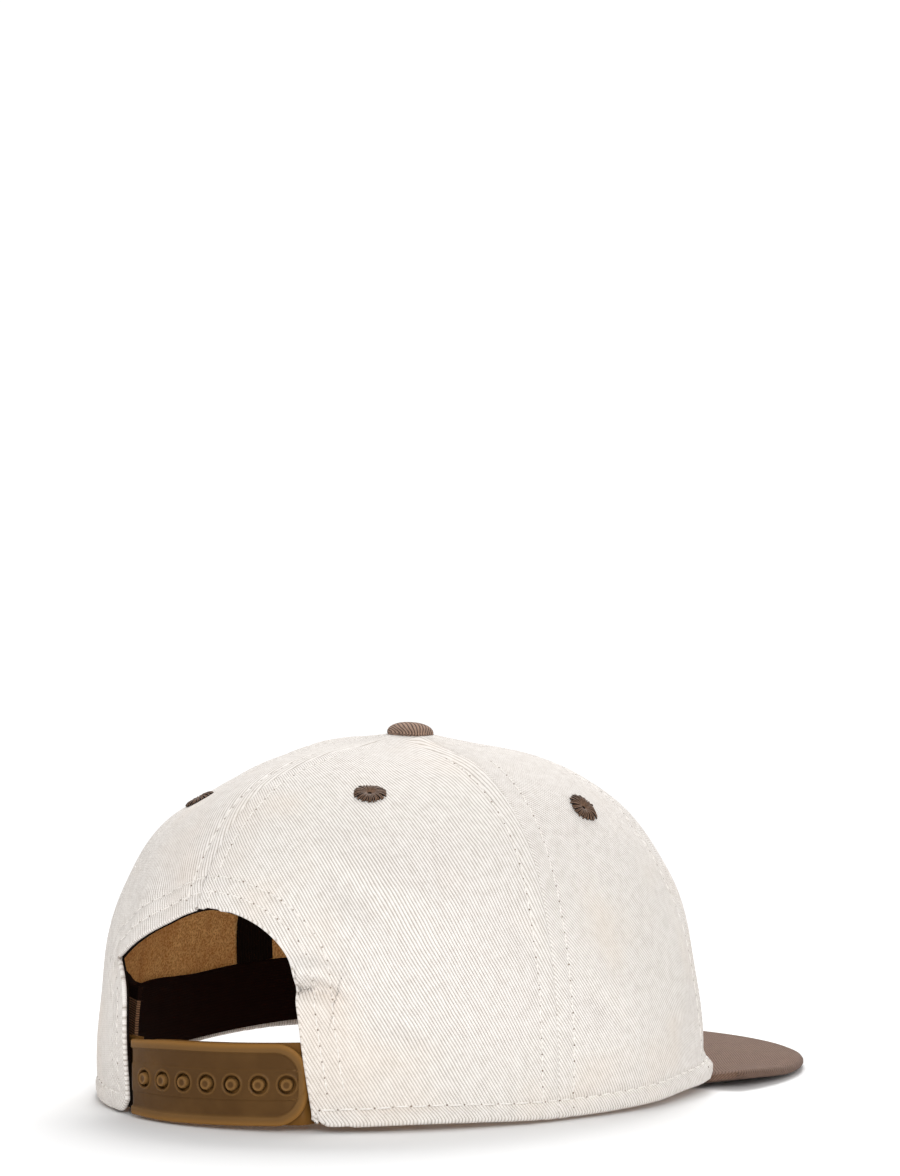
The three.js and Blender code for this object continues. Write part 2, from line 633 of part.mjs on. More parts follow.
let holeStrap = strapBlank(OPENING[0] - STRAP_TAB, STRAP_TIP, true, 0);
let pegStrap = strapBlank(FIRST_HOLE - STRAP_TAIL, OPENING[1] + STRAP_TAB, false, STRAP_THICK + GAP);
for (let k = 0; k < HOLE_COUNT; k++) {
  const s = FIRST_HOLE + k * HOLE_PITCH;
  holeStrap = holeStrap.subtract(roundBar(s, -1, STRAP_THICK + 1, HOLE_RADIUS));
  pegStrap = pegStrap.add(roundBar(s, -PEG_STAND, STRAP_THICK + GAP + 0.8, PEG_RADIUS));
}
add("snap_strap_holes", fromManifold(holeStrap), STRAP_AMBER);
add("snap_strap_pegs", fromManifold(pegStrap), STRAP_AMBER);

// Round parts that stand on the crown: a turned profile set on the outward direction of a place.
function turned(profile, turn, down, stand, sides) {
  const shape = new THREE.LatheGeometry(profile.map(([r, h]) => new THREE.Vector2(r, h)), sides);
  const merged = toManifold(weld(shape));
  const geometry = fromManifold(merged);
  const n = wall(turn, down, -1).sub(wall(turn, down, 0)).normalize();
  const turnTo = new THREE.Quaternion().setFromUnitVectors(new THREE.Vector3(0, 1, 0), n);
  geometry.applyQuaternion(turnTo);
  const at = wall(turn, down, 0).addScaledVector(n, stand);
  geometry.translate(at.x, at.y, at.z);
  return geometry;
}

// Joins the points of a turned shape that lie on the same spot.
function weld(geometry) {
  const source = geometry.attributes.position;
  const seen = new Map();
  const vertices = [];
  const alias = [];
  for (let k = 0; k < source.count; k++) {
    const p = [source.getX(k), source.getY(k), source.getZ(k)];
    const key = p.map((c) => Math.round(c * 1e4)).join(",");
    if (!seen.has(key)) {
      seen.set(key, vertices.length / 3);
      vertices.push(...p);
    }
    alias.push(seen.get(key));
  }
  const index = [];
  const old = geometry.index.array;
  for (let k = 0; k < old.length; k += 3) {
    const [a, b, c] = [alias[old[k]], alias[old[k + 1]], alias[old[k + 2]]];
    if (a !== b && b !== c && c !== a) index.push(a, b, c);
  }
  return outwardFacing(vertices, index);
}

// Button: a covered dome whose shank goes down through the hole where the panels meet.
const buttonProfile = [
  [0, -2.6], [1.9, -2.6], [1.9, 0], [BUTTON_RADIUS - 0.5, 0], [BUTTON_RADIUS, 0.6], [6.4, 1.3],
  [4.8, 2.2], [2.6, 2.8], [0, BUTTON_HEIGHT],
];
const nearTop = 0.0006;
add("button", turned(buttonProfile, 180, nearTop, GAP, 24), TWILL_BROWN);

const eyeletProfile = [
  [EYELET_HOLE, 0], [EYELET_RADIUS - 0.3, 0], [EYELET_RADIUS, 0.35], [EYELET_RADIUS - 0.7, 0.8],
  [1.8, 0.85], [EYELET_HOLE, 0.4], [EYELET_HOLE, 0],
];
for (const eyelet of EYELETS) {
  add(eyelet.name, turned(eyeletProfile, eyelet.turn, eyelet.down, 0.25, 20), THREAD_BROWN);
}

export default group;
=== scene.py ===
# %% [markdown]
# # A five-panel cap with a flat peak
# A soft twill cap seen from the back right: five bone-white panels, a brown peak and button, an
# arched opening at the back and a pegged plastic strap. Each cell makes one piece or one finish.
# The work is done in millimetres with numpy and turned into metres when a mesh is made.

# %% Load the frame
import math
import bpy
import numpy as np
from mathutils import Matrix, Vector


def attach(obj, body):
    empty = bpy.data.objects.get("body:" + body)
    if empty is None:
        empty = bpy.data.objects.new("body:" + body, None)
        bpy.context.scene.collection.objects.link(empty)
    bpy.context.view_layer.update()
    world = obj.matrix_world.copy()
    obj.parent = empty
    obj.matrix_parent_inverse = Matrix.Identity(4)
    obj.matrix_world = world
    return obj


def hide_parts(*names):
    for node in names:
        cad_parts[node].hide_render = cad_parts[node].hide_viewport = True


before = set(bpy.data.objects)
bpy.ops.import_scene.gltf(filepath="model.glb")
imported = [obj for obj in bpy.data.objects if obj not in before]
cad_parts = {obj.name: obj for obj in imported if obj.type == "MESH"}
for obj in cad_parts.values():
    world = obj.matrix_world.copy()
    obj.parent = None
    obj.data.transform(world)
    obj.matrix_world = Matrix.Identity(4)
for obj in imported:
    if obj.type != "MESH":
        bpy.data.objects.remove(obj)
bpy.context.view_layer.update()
print("CAD pieces:", len(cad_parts))

# %% [markdown]
# ## Turning points into pieces
# Every piece of the cap is a mesh of whole arrays: points in millimetres, and faces as rows of
# point numbers. A body's faces are turned over when its signed volume comes out below zero, so
# that normals point outward.

# %% Mesh helpers
MM = 0.001


def grid_faces(rows, cols, wrap_rows=False, wrap_cols=False):
    """Quads between neighbours of a grid of points. Wrapping joins the last row or column to the
    first."""
    index = np.arange(rows * cols).reshape(rows, cols)
    if wrap_rows:
        index = np.concatenate([index, index[:1]], 0)
    if wrap_cols:
        index = np.concatenate([index, index[:, :1]], 1)
    corners = [index[:-1, :-1], index[:-1, 1:], index[1:, 1:], index[1:, :-1]]
    return np.stack(corners, -1).reshape(-1, 4)


def joined(parts):
    """Several (points, faces) bodies as one: each one's point numbers are moved past those of
    the bodies before it."""
    points, faces, start = [], [], 0
    for body_points, body_faces in parts:
        points.append(body_points)
        faces += [group + start for group in body_faces]
        start += len(body_points)
    return np.concatenate(points), faces


def facing_outward(points, faces):
    """Six times the signed volume is the sum of a . (b x c) over the triangles. Where that is
    below zero, all faces turn over."""
    volume = 0.0
    for group in faces:
        first = points[group[:, 0]]
        for k in range(1, group.shape[1] - 1):
            pair = np.cross(points[group[:, k]], points[group[:, k + 1]])
            volume += (first * pair).sum()
    return faces if volume > 0 else [group[:, ::-1] for group in faces]


def piece(name, points, faces, finish, stands_for=(), cloth=None, crease=50, edge=None):
    """Makes one piece of the cap. cloth holds each point's place on the flat cloth, in millimetres,
    and edge its distance from the piece's edge."""
    faces = [group for group in facing_outward(points, faces) if len(group)]
    corners = np.concatenate([group.ravel() for group in faces])
    widths = np.concatenate([np.full(len(group), group.shape[1]) for group in faces])
    mesh = bpy.data.meshes.new(name)
    mesh.vertices.add(len(points))
    mesh.vertices.foreach_set("co", (points * MM).astype(np.float32).ravel())
    mesh.loops.add(len(corners))
    mesh.loops.foreach_set("vertex_index", corners.astype(np.int32))
    mesh.polygons.add(len(widths))
    starts = np.concatenate([[0], np.cumsum(widths)[:-1]])
    mesh.polygons.foreach_set("loop_start", starts.astype(np.int32))
    mesh.update(calc_edges=True)
    mesh.validate()
    mesh.polygons.foreach_set("use_smooth", np.ones(len(mesh.polygons), bool))
    mesh.set_sharp_from_angle(angle=math.radians(crease))
    order = np.zeros(len(mesh.loops), np.int32)
    mesh.loops.foreach_get("vertex_index", order)
    for layer_name, places in (("cloth", cloth), ("edge", edge)):
        if places is not None:
            layer = mesh.uv_layers.new(name=layer_name)
            layer.data.foreach_set("uv", places[order].astype(np.float32).ravel())
    mesh.materials.append(finish)
    obj = bpy.data.objects.new(name, mesh)
    bpy.context.scene.collection.objects.link(obj)
    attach(obj, "root")
    if stands_for:
        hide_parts(*stands_for)
    triangles = int((widths - 2).sum())
    print(f"{name}: {triangles} triangles")
    return obj


def unit(vectors):
    """Vectors scaled to length one."""
    return vectors / np.maximum(np.linalg.norm(vectors, axis=-1, keepdims=True), 1e-12)


def run_length(line):
    """Length from a line's start to each of its points: the running sum of its steps."""
    steps = np.linalg.norm(np.diff(line, axis=0), axis=-1)
    return np.concatenate([steps[:1] * 0, np.cumsum(steps, 0)])


def chain(a, b):
    """Two runs of places as one, where the second starts at the place that ends the first."""
    return tuple(np.concatenate([x, y[1:]]) for x, y in zip(a, b))


def matched(turn, down):
    """Turn and down as arrays of one shape."""
    return np.broadcast_arrays(np.asarray(turn, float), np.asarray(down, float))


def turn_from(turn, middle):
    """How far a turn lies from another, between -180 and 180 degrees."""
    return (turn - middle + 180) % 360 - 180


def ease(x):
    """A smooth step: 0 below 0, 1 above 1, and 3t^2 - 2t^3 between."""
    t = np.clip(x, 0, 1)
    return t * t * (3 - 2 * t)


# %% [markdown]
# ## The crown's form
# A soft crown is neither a ball nor a cylinder: its back bulges over the strap, its sides fall
# straight and its top is nearly flat. Eight profiles from the button to the rim, blended round
# the button by a smooth wave, give that form. `turn` is the angle round the button (0 back, 90
# the wearer's right, 180 front) and `down` runs from 0 at the button to 1 at the rim.

# %% Crown shape
CROWN_HEIGHT = 102.0
APEX_BACK = 2.5
BULGE_HEIGHT = 57.0
BUTTON_RISE = 3.0
BUTTON_RISE_RADIUS = 14.0
# turn, reach, round, dome, bulge, rim
PROFILES = np.array([
    (0, 105.7, 0.61, 0.83, 1.6, -2.9),
    (45, 94.7, 0.85, 0.60, -0.8, -0.6),
    (90, 87.2, 0.54, 0.96, 1.7, -0.7),
    (135, 90.5, 0.75, 0.78, -0.4, 0.9),
    (180, 87.2, 0.77, 0.78, 1.1, -0.6),
    (225, 91.4, 0.65, 0.76, 0.0, -0.3),
    (270, 89.0, 0.60, 0.95, 1.9, -1.6),
    (315, 94.8, 0.85, 0.63, -1.0, -4.5),
])
# Dents pressed into the cloth: turn, down, depth, how wide, how tall.
DENTS = [(-38, 0.36, 2.6, 16, 0.12), (36, 0.84, 1.4, 14, 0.09)]
# How the cap lies: front raised, leaning to the wearer's right, peak and arch a little turned.
PITCH, LEAN, TWIST = math.radians(1.26), math.radians(2.1), math.radians(4.5)
SIT = np.array([-0.08, 21.24, 5.43])


def profile(turn):
    """Blends the eight rows: row k counts sin(4x) / (8 tan(x/2)), where x is the angle from row k."""
    x = np.radians(np.asarray(turn, float)[..., None] - PROFILES[:, 0])
    half = np.tan(x / 2)
    at_row = np.abs(half) < 1e-9
    share = np.where(at_row, 1.0, np.sin(4 * x) / (8 * np.where(at_row, 1.0, half)))
    return np.moveaxis(share @ PROFILES[:, 1:], -1, 0)


def upright_crown(turn, down):
    """Outer face before the cap is laid down: radius = reach sin^round + bulge, and
    height = rim + depth cos^dome."""
    turn, down = matched(turn, down)
    reach, roundness, dome, bulge, rim = profile(turn)
    out = np.sin(down * np.pi / 2) ** roundness
    up = np.maximum(0, np.cos(down * np.pi / 2)) ** dome
    z = rim + (CROWN_HEIGHT - rim) * up
    swell = bulge * np.sin(np.pi * np.minimum(1, up * CROWN_HEIGHT / BULGE_HEIGHT))
    r = reach * out + swell
    angle = np.radians(turn)
    back = APEX_BACK * z / CROWN_HEIGHT
    lifted = z + BUTTON_RISE * np.exp(-(r / BUTTON_RISE_RADIUS) ** 2)
    return np.stack([-r * np.sin(angle), r * np.cos(angle) + back, lifted], -1)


def outward(turn, down):
    """The crown's outward direction: the step down the cloth crossed with the step round it."""
    lower = np.minimum(1, down + 0.004)
    upper = np.maximum(0.0005, lower - 0.008)
    across = upright_crown(turn + 0.4, down) - upright_crown(turn - 0.4, down)
    along = upright_crown(turn, lower) - upright_crown(turn, upper)
    return unit(np.cross(along, across))


def laid(p):
    """Turns upright points to where they lie as the cap rests on the surface."""
    y = p[..., 1] * np.cos(PITCH) + p[..., 2] * np.sin(PITCH)
    z = -p[..., 1] * np.sin(PITCH) + p[..., 2] * np.cos(PITCH)
    x = p[..., 0] * np.cos(LEAN) - z * np.sin(LEAN)
    up = p[..., 0] * np.sin(LEAN) + z * np.cos(LEAN)
    c, s = np.cos(TWIST), np.sin(TWIST)
    return np.stack([x * c + y * s, y * c - x * s, up], -1) + SIT


def dents(turn, down):
    """Depth of the big soft dents: a bell curve in turn and in down for each."""
    depth = np.zeros(np.broadcast(turn, down).shape)
    for at_turn, at_down, deep, wide, tall in DENTS:
        a = turn_from(turn, at_turn) / wide
        depth += deep * np.exp(-a * a - ((down - at_down) / tall) ** 2)
    return depth


def wall(turn, down, depth):
    """A point of the wall, depth millimetres inside the smooth outer face."""
    turn, down = matched(turn, down)
    inward = np.asarray(depth + dents(turn, down))[..., None]
    return laid(upright_crown(turn, down) - outward(turn, down) * inward)


def down_at(turn, height):
    """How far down the crown a height above its zero lies."""
    _, _, dome, _, rim = profile(turn)
    up = np.clip((height - rim) / (CROWN_HEIGHT - rim), 0, 1)
    return np.arccos(up ** (1 / dome)) * 2 / np.pi


def height_at(turn, down):
    """Height of a place on the upright crown: rim + depth cos^dome."""
    _, _, dome, _, rim = profile(turn)
    return rim + (CROWN_HEIGHT - rim) * np.maximum(0, np.cos(down * np.pi / 2)) ** dome


def millimetres_per_degree(turn, down):
    """Length of one degree of turn at a place of the crown."""
    p = upright_crown(turn, down)
    back = APEX_BACK * p[..., 2] / CROWN_HEIGHT
    return np.maximum(1, np.hypot(p[..., 0], p[..., 1] - back)) * np.pi / 180


# Just beside the button's middle, where the crown still has a direction outward.
NEAR_TOP = 0.0006
print("button height:", wall(0.0, NEAR_TOP, 0.0).round(1))

# %% [markdown]
# ## Measuring along the cloth
# Stitch rows, hems and the weave all need real lengths on the curved cloth. Two tables hold
# them: how far a place lies above the rim along its profile, and how far round it lies at its
# own height. A place is looked up between the four nearest entries.

# %% Tables of lengths
TABLE_TURNS = np.arange(-60.0, 421.0)
TABLE_ROWS = 240
TABLE_POWER = 1.6
TABLE_DOWNS = (np.arange(TABLE_ROWS + 1) / TABLE_ROWS) ** TABLE_POWER
table_points = upright_crown(TABLE_TURNS[:, None], TABLE_DOWNS[None, :])
steps_down = np.linalg.norm(np.diff(table_points, axis=1), axis=-1)
from_button = np.pad(np.cumsum(steps_down, 1), ((0, 0), (1, 0)))
UP_TABLE = from_button[:, -1:] - from_button
ROUND_TABLE = run_length(table_points)


def look_up(table, turn, down):
    """Reads a table between its four nearest entries."""
    a = np.clip(turn - TABLE_TURNS[0], 0, len(TABLE_TURNS) - 1.001)
    b = np.clip(np.asarray(down) ** (1 / TABLE_POWER) * TABLE_ROWS, 0, TABLE_ROWS - 0.001)
    i, j = a.astype(int), b.astype(int)
    f, g = a - i, b - j
    low = table[i, j] * (1 - g) + table[i, j + 1] * g
    high = table[i + 1, j] * (1 - g) + table[i + 1, j + 1] * g
    return low * (1 - f) + high * f


print("rim, round outside:", round(float(ROUND_TABLE[420, -1] - ROUND_TABLE[60, -1])), "mm")

# %% [markdown]
# ## Seams and the arched opening
# Five seams run from the button to the rim. The opening at the back is a soft arch: nearly
# round on top, with a shoulder on each side and then almost straight legs.

# %% Seams and arch
# atRim is the seam's turn at the rim, more is how much farther round it starts at the button.
SEAMS = {
    "centre_back": (1.2, -1.2),
    "side_back_right": (70.5, 3.0),
    "front_right": (124.0, -3.0),
    "front_left": (256.5, 8.0),
    "side_back_left": (296.0, -7.0),
}
ARCH_MIDDLE, ARCH_TOP, ARCH_BEND_SHARE = 4.0, 59.8, 0.58
# Within the first number of degrees from its middle a wider edge spreads by less. The second
# number turns millimetres into degrees.
ARCH_FULL_SPREAD, ARCH_MM_PER_DEGREE = 9, 1.72
# sign, turn at the bend, turn at the rim, fall, shoulder, how soon the leg straightens, bend height
ARCH_LEFT = (-1, 23.5, 15.6, 1.5, 0.9, 6, 41.0)
ARCH_RIGHT = (1, 18.5, 22.0, 2.0, 1.9, 1, 40.0)


def seam_turn(seam, down):
    """Where a seam runs: its turn changes evenly from the button to the rim."""
    return seam[0] + seam[1] * (1 - down)


def arch_edge(side, along, wider=0.0):
    """The arch from its top (0) to the rim (1): powers of sine and cosine to the bend, and below
    it the turn at the rim plus the rest times (1 - share of the leg)^straight."""
    sign, at_bend, at_rim, fall, shoulder, straight, bend = side
    q = np.clip(along / ARCH_BEND_SHARE, 0, 1) * np.pi / 2
    top = ARCH_TOP + wider - bend
    leg = np.clip((along - ARCH_BEND_SHARE) / (1 - ARCH_BEND_SHARE), 0, 1)
    low = profile(ARCH_MIDDLE + sign * at_rim)[4]
    on_leg = along >= ARCH_BEND_SHARE
    on_side = at_rim + (at_bend - at_rim) * (1 - leg) ** straight
    turn = np.where(on_leg, on_side, at_bend * np.sin(q) ** (2 / fall))
    rise = top * np.maximum(0, np.cos(q)) ** (2 / shoulder)
    height = bend + np.where(on_leg, (low - bend) * leg, rise)
    spread = wider * np.minimum(1, turn / ARCH_FULL_SPREAD) / ARCH_MM_PER_DEGREE
    place = ARCH_MIDDLE + sign * (turn + spread)
    return place, down_at(place, height)


def evenly(turn, down, count):
    """A run of places respaced so that neighbours are equally far apart on the cloth."""
    p = upright_crown(turn, down)
    length = run_length(p)
    want = np.linspace(0, length[-1], count + 1)
    return np.interp(want, length, turn), np.interp(want, length, down)


fine = np.linspace(0, 1, 700)
right_arch = arch_edge(ARCH_RIGHT, fine)
left_arch = arch_edge(ARCH_LEFT, fine)
left_plan = arch_edge((-1, ARCH_LEFT[2], *ARCH_LEFT[2:]), fine)
bulge_heights = height_at(*left_plan)[::-1]
bulge = (left_plan[0] - left_arch[0])[::-1]
plan_half = (ARCH_MIDDLE - left_plan[0])[::-1]
ARCH_PLACES = evenly(*chain([x[::-1] for x in left_arch], right_arch), 130)
ARCH_LINE = upright_crown(*ARCH_PLACES)
RIGHT_LEG, LEFT_LEG = float(right_arch[0][-1]), float(left_arch[0][-1])
print("legs of the arch at turns", round(LEFT_LEG, 1), "and", round(RIGHT_LEG, 1))


def distance_to_line(p, line):
    """Shortest distance from each point to a line of straight stretches."""
    shape = p.shape[:-1]
    flat = p.reshape(-1, 1, 3)
    start, step = line[:-1], np.diff(line, axis=0)
    t = ((flat - start) * step).sum(-1) / (step * step).sum(-1)
    nearest = start + step * np.clip(t, 0, 1)[..., None]
    return np.linalg.norm(flat - nearest, axis=-1).min(1).reshape(shape)


def from_arch(turn, down):
    """Distance to the arch's edge in millimetres, and a large number far from the arch."""
    turn, down = matched(turn, down)
    away = np.abs(turn_from(turn, ARCH_MIDDLE))
    result = np.full(turn.shape, 999.0)
    near = (away < 45) & (down > 0.4)
    if near.any():
        result[near] = distance_to_line(upright_crown(turn[near], down[near]), ARCH_LINE)
    return result


# %% [markdown]
# ## Folds and sewing
# Cloth that has been worn keeps soft diagonal folds, most of them beside the bend of the arch.
# Each fold is a short path on the crown that sinks, or stands up, like a bell curve. Sewing
# leaves finer marks: a groove where two panels meet, a raised strip where the seam allowance
# lies below, and a shallow channel along each row of stitches.

# %% Folds, seams and hems
SEAM_ROWS = {
    "centre_back": 4.3,
    "side_back_right": 5.6,
    "front_right": 5.2,
    "front_left": 5.2,
    "side_back_left": 5.6,
}
HEM_ROW = 5.3
ARCH_ROWS = (4.9, 9.8)
# Each fold: a path of (turn, down), its half width in mm, and its depth in mm (below 0: a ridge).
FOLDS = [
    ([(19.5, 0.826), (22.5, 0.827), (25.5, 0.833), (28.0, 0.848), (30.5, 0.875)], 2.0, 3.6),
    ([(19.5, 0.795), (23.0, 0.798), (27.0, 0.808), (31.5, 0.845), (33.5, 0.872)], 3.2, -2.8),
    ([(22.5, 0.852), (26.0, 0.866), (29.0, 0.900), (30.0, 0.930)], 2.8, -1.7),
    ([(24.5, 0.575), (30.0, 0.640), (36.0, 0.712), (41.0, 0.775)], 5.5, 2.3),
    ([(22.0, 0.665), (25.0, 0.735), (29.0, 0.800), (34.0, 0.850), (38.0, 0.890)], 4.5, 2.2),
    ([(27.5, 0.690), (31.0, 0.745), (35.5, 0.800), (40.0, 0.845)], 4.5, -1.0),
    ([(30.5, 0.890), (34.5, 0.918), (38.5, 0.938), (44.0, 0.955)], 4.0, 2.1),
    ([(37.0, 0.880), (41.0, 0.910), (46.0, 0.935), (52.0, 0.950)], 4.5, -1.7),
    ([(62.0, 0.700), (66.0, 0.735), (70.0, 0.800)], 5.0, 0.9),
    ([(78.0, 0.800), (84.0, 0.838), (90.0, 0.850)], 5.5, 1.1),
    ([(70.5, 0.640), (73.0, 0.700), (75.0, 0.780)], 6.0, 0.7),
    ([(114.5, 0.440), (117.0, 0.470), (121.0, 0.490)], 4.5, 0.9),
    ([(104.0, 0.870), (110.0, 0.895), (118.0, 0.905)], 4.0, 1.3),
    ([(-14.0, 0.560), (-9.0, 0.610), (-6.0, 0.660)], 6.0, 1.0),
    ([(-24.0, 0.640), (-20.0, 0.700), (-19.0, 0.760)], 5.0, 0.9),
    ([(-24.0, 0.780), (-19.5, 0.840), (-17.5, 0.900)], 4.0, 0.9),
    ([(238.0, 0.70), (246.0, 0.78), (251.0, 0.86)], 6.0, 0.9),
    ([(300.0, 0.72), (309.0, 0.80), (318.0, 0.85)], 5.5, 1.0),
    ([(150.0, 0.90), (163.0, 0.915), (176.0, 0.90)], 5.0, 0.7),
]
# Slow unevenness: waves per mm across, waves per mm along, phase, height in mm.
WAVES = [(0.021, 0.013, 0.4, 0.20), (-0.012, 0.027, 1.9, 0.20), (0.036, -0.022, 3.1, 0.10)]
# Millimetres round the rim, which turn waves per mm into whole waves round the crown.
RIM_ROUND = 585
# Where the rim stands out over the peak's ends: turn, millimetres.
RIM_SWELLS = [(124, 2.6), (243, 0.9)]


def folds(turn, down):
    """How far folds move the cloth outward: each path takes away a bell curve that fades at its
    ends, and each wave adds a sine that closes on itself round the crown."""
    turn, down = matched(turn, down)
    p = upright_crown(turn, down)
    height = np.zeros(turn.shape)
    for path, wide, deep in FOLDS:
        places = np.array(path, float)
        k = np.linspace(0, len(places) - 1, 22)
        spots = [np.interp(k, np.arange(len(places)), places[:, n]) for n in (0, 1)]
        line = upright_crown(*spots)
        strength = np.sin(np.pi * np.linspace(0.06, 0.94, len(k))) ** 0.7
        middle = line[len(line) // 2]
        reach = np.linalg.norm(line - middle, axis=-1).max() + 3 * wide
        near = np.linalg.norm(p - middle, axis=-1) < reach
        if near.any():
            away = np.linalg.norm(p[near][:, None, :] - line, axis=-1)
            height[near] -= deep * (strength * np.exp(-(away / wide) ** 2)).max(-1)
    length_up = look_up(UP_TABLE, turn % 360, down)
    ring = np.radians(turn)
    for across, along, phase, size in WAVES:
        rounds = round(across * RIM_ROUND)
        height += size * np.sin(rounds * ring + 2 * np.pi * along * length_up + phase)
    return height * ease((down - 0.08) / 0.2)


def channel(away, wide):
    """A bell curve, 1 on the row and fading beside it."""
    return np.exp(-(away / wide) ** 2)


def sewing(turn, down):
    """Height left by the sewing: grooves at seams and stitch rows, raised strips between them."""
    turn, down = matched(turn, down)
    wrapped = turn % 360
    up = look_up(UP_TABLE, wrapped, down)
    scale = millimetres_per_degree(turn, down)
    arch = from_arch(turn, down)
    height = np.zeros(turn.shape)
    room = ease((scale * 180 / np.pi - 9) / 8)
    for name, seam in SEAMS.items():
        away = np.abs(turn_from(turn, seam_turn(seam, down))) * scale
        row = SEAM_ROWS[name]
        pucker = 1 + 0.35 * np.cos(2 * np.pi * up / 4.7)
        height += room * (0.14 * ease((row - away) / 2.0) - 0.18 * pucker * channel(away - row, 0.9))
        height -= 0.30 * room * channel(away, 0.5)
    pucker = 1 + 0.35 * np.cos(2 * np.pi * turn * scale / 5.3)
    clear = ease((arch - 3) / 3)
    height += 0.55 * ease((HEM_ROW - up) / 1.5) - 0.75 * pucker * channel(up - HEM_ROW, 0.85) * clear
    for at_turn, swell in RIM_SWELLS:
        height += swell * ease((HEM_ROW + 3 - up) / 5) * channel(wrapped - at_turn, 9)
    height += 0.25 * ease((ARCH_ROWS[1] - arch) / 1.6)
    for row in ARCH_ROWS:
        height -= 0.28 * channel(arch - row, 0.85) * ease((up - 4) / 3)
    return height


def cloth_face(turn, down, lift=0.0):
    """The outer face of the finished cloth, with folds and sewing, lift millimetres above it."""
    turn, down = matched(turn, down)
    return wall(turn, down, -folds(turn, down) - sewing(turn, down) - lift)


# %% [markdown]
# ## Finishes
# Twill is woven so that each thread passes over two or three others, one step farther along in
# every row, and this draws slanting ribs. Here a rib is the distance across the slant divided
# by the rib's width, and short yarns cross it. Both give height for the bump and painted shade
# for the colour: the valleys between ribs and yarns are painted darker. Slow noise on top
# stands for dye, dust and wear.

# %% Short calls for wiring nodes


def new_finish(name):
    """A material with its main shader."""
    material = bpy.data.materials.new(name)
    material.use_nodes = True
    return material, material.node_tree, material.node_tree.nodes["Principled BSDF"]


def wire(tree, kind, inputs, result=0, **settings):
    """Adds a node. inputs gives each socket a value or the socket that feeds it."""
    node = tree.nodes.new("ShaderNode" + kind)
    for key, value in settings.items():
        setattr(node, key, value)
    for key, value in inputs.items():
        if isinstance(value, bpy.types.NodeSocket):
            tree.links.new(value, node.inputs[key])
        else:
            node.inputs[key].default_value = value
    return node.outputs[result]


def calc(tree, operation, *values):
    """One step of arithmetic."""
    return wire(tree, "Math", dict(enumerate(values)), operation=operation)


def mixed(tree, factor, a, b, blend="MIX"):
    """Two colours mixed by a factor."""
    return wire(tree, "Mix", {0: factor, 6: a, 7: b}, 2, data_type="RGBA", blend_type=blend)


def noise(tree, vector, scale, detail=3.0, roughness=0.55):
    """Cloudy noise from 0 to 1."""
    inputs = {"Vector": vector, "Scale": scale, "Detail": detail, "Roughness": roughness}
    return wire(tree, "TexNoise", inputs, 0)


def stepped(tree, value, low, high, to_low=0.0, to_high=1.0):
    """A smooth step of a value between two limits."""
    inputs = {0: value, 1: low, 2: high, 3: to_low, 4: to_high}
    return wire(tree, "MapRange", inputs, interpolation_type="SMOOTHSTEP")


def layer_parts(tree, layer="cloth"):
    """The separate parts of a place that one of the mesh's flat layers holds."""
    return wire(tree, "SeparateXYZ", {0: wire(tree, "UVMap", {}, uv_map=layer)}).node.outputs


def dress(tree, surface, colour, height, strength, distance, values):
    """Gives the shader its colour, a bump of so many millimetres, and values for other inputs."""
    tree.links.new(colour, surface.inputs["Base Color"])
    for key, value in values.items():
        surface.inputs[key].default_value = value
    raised = wire(tree, "Bump", {"Strength": strength, "Distance": distance * MM, "Height": height})
    tree.links.new(raised, surface.inputs["Normal"])


def tint(red, green, blue):
    """A colour read from a screen, 0 to 255, as linear light."""
    screen = np.array([red, green, blue]) / 255
    linear = np.where(screen < 0.04045, screen / 12.92, ((screen + 0.055) / 1.055) ** 2.4)
    return (*linear.tolist(), 1.0)


# %% Twill
# Millimetres from yarn to yarn along a rib, and the share of that by which each rib is shifted.
YARN_PITCH, YARN_SHIFT = 0.62, 0.381


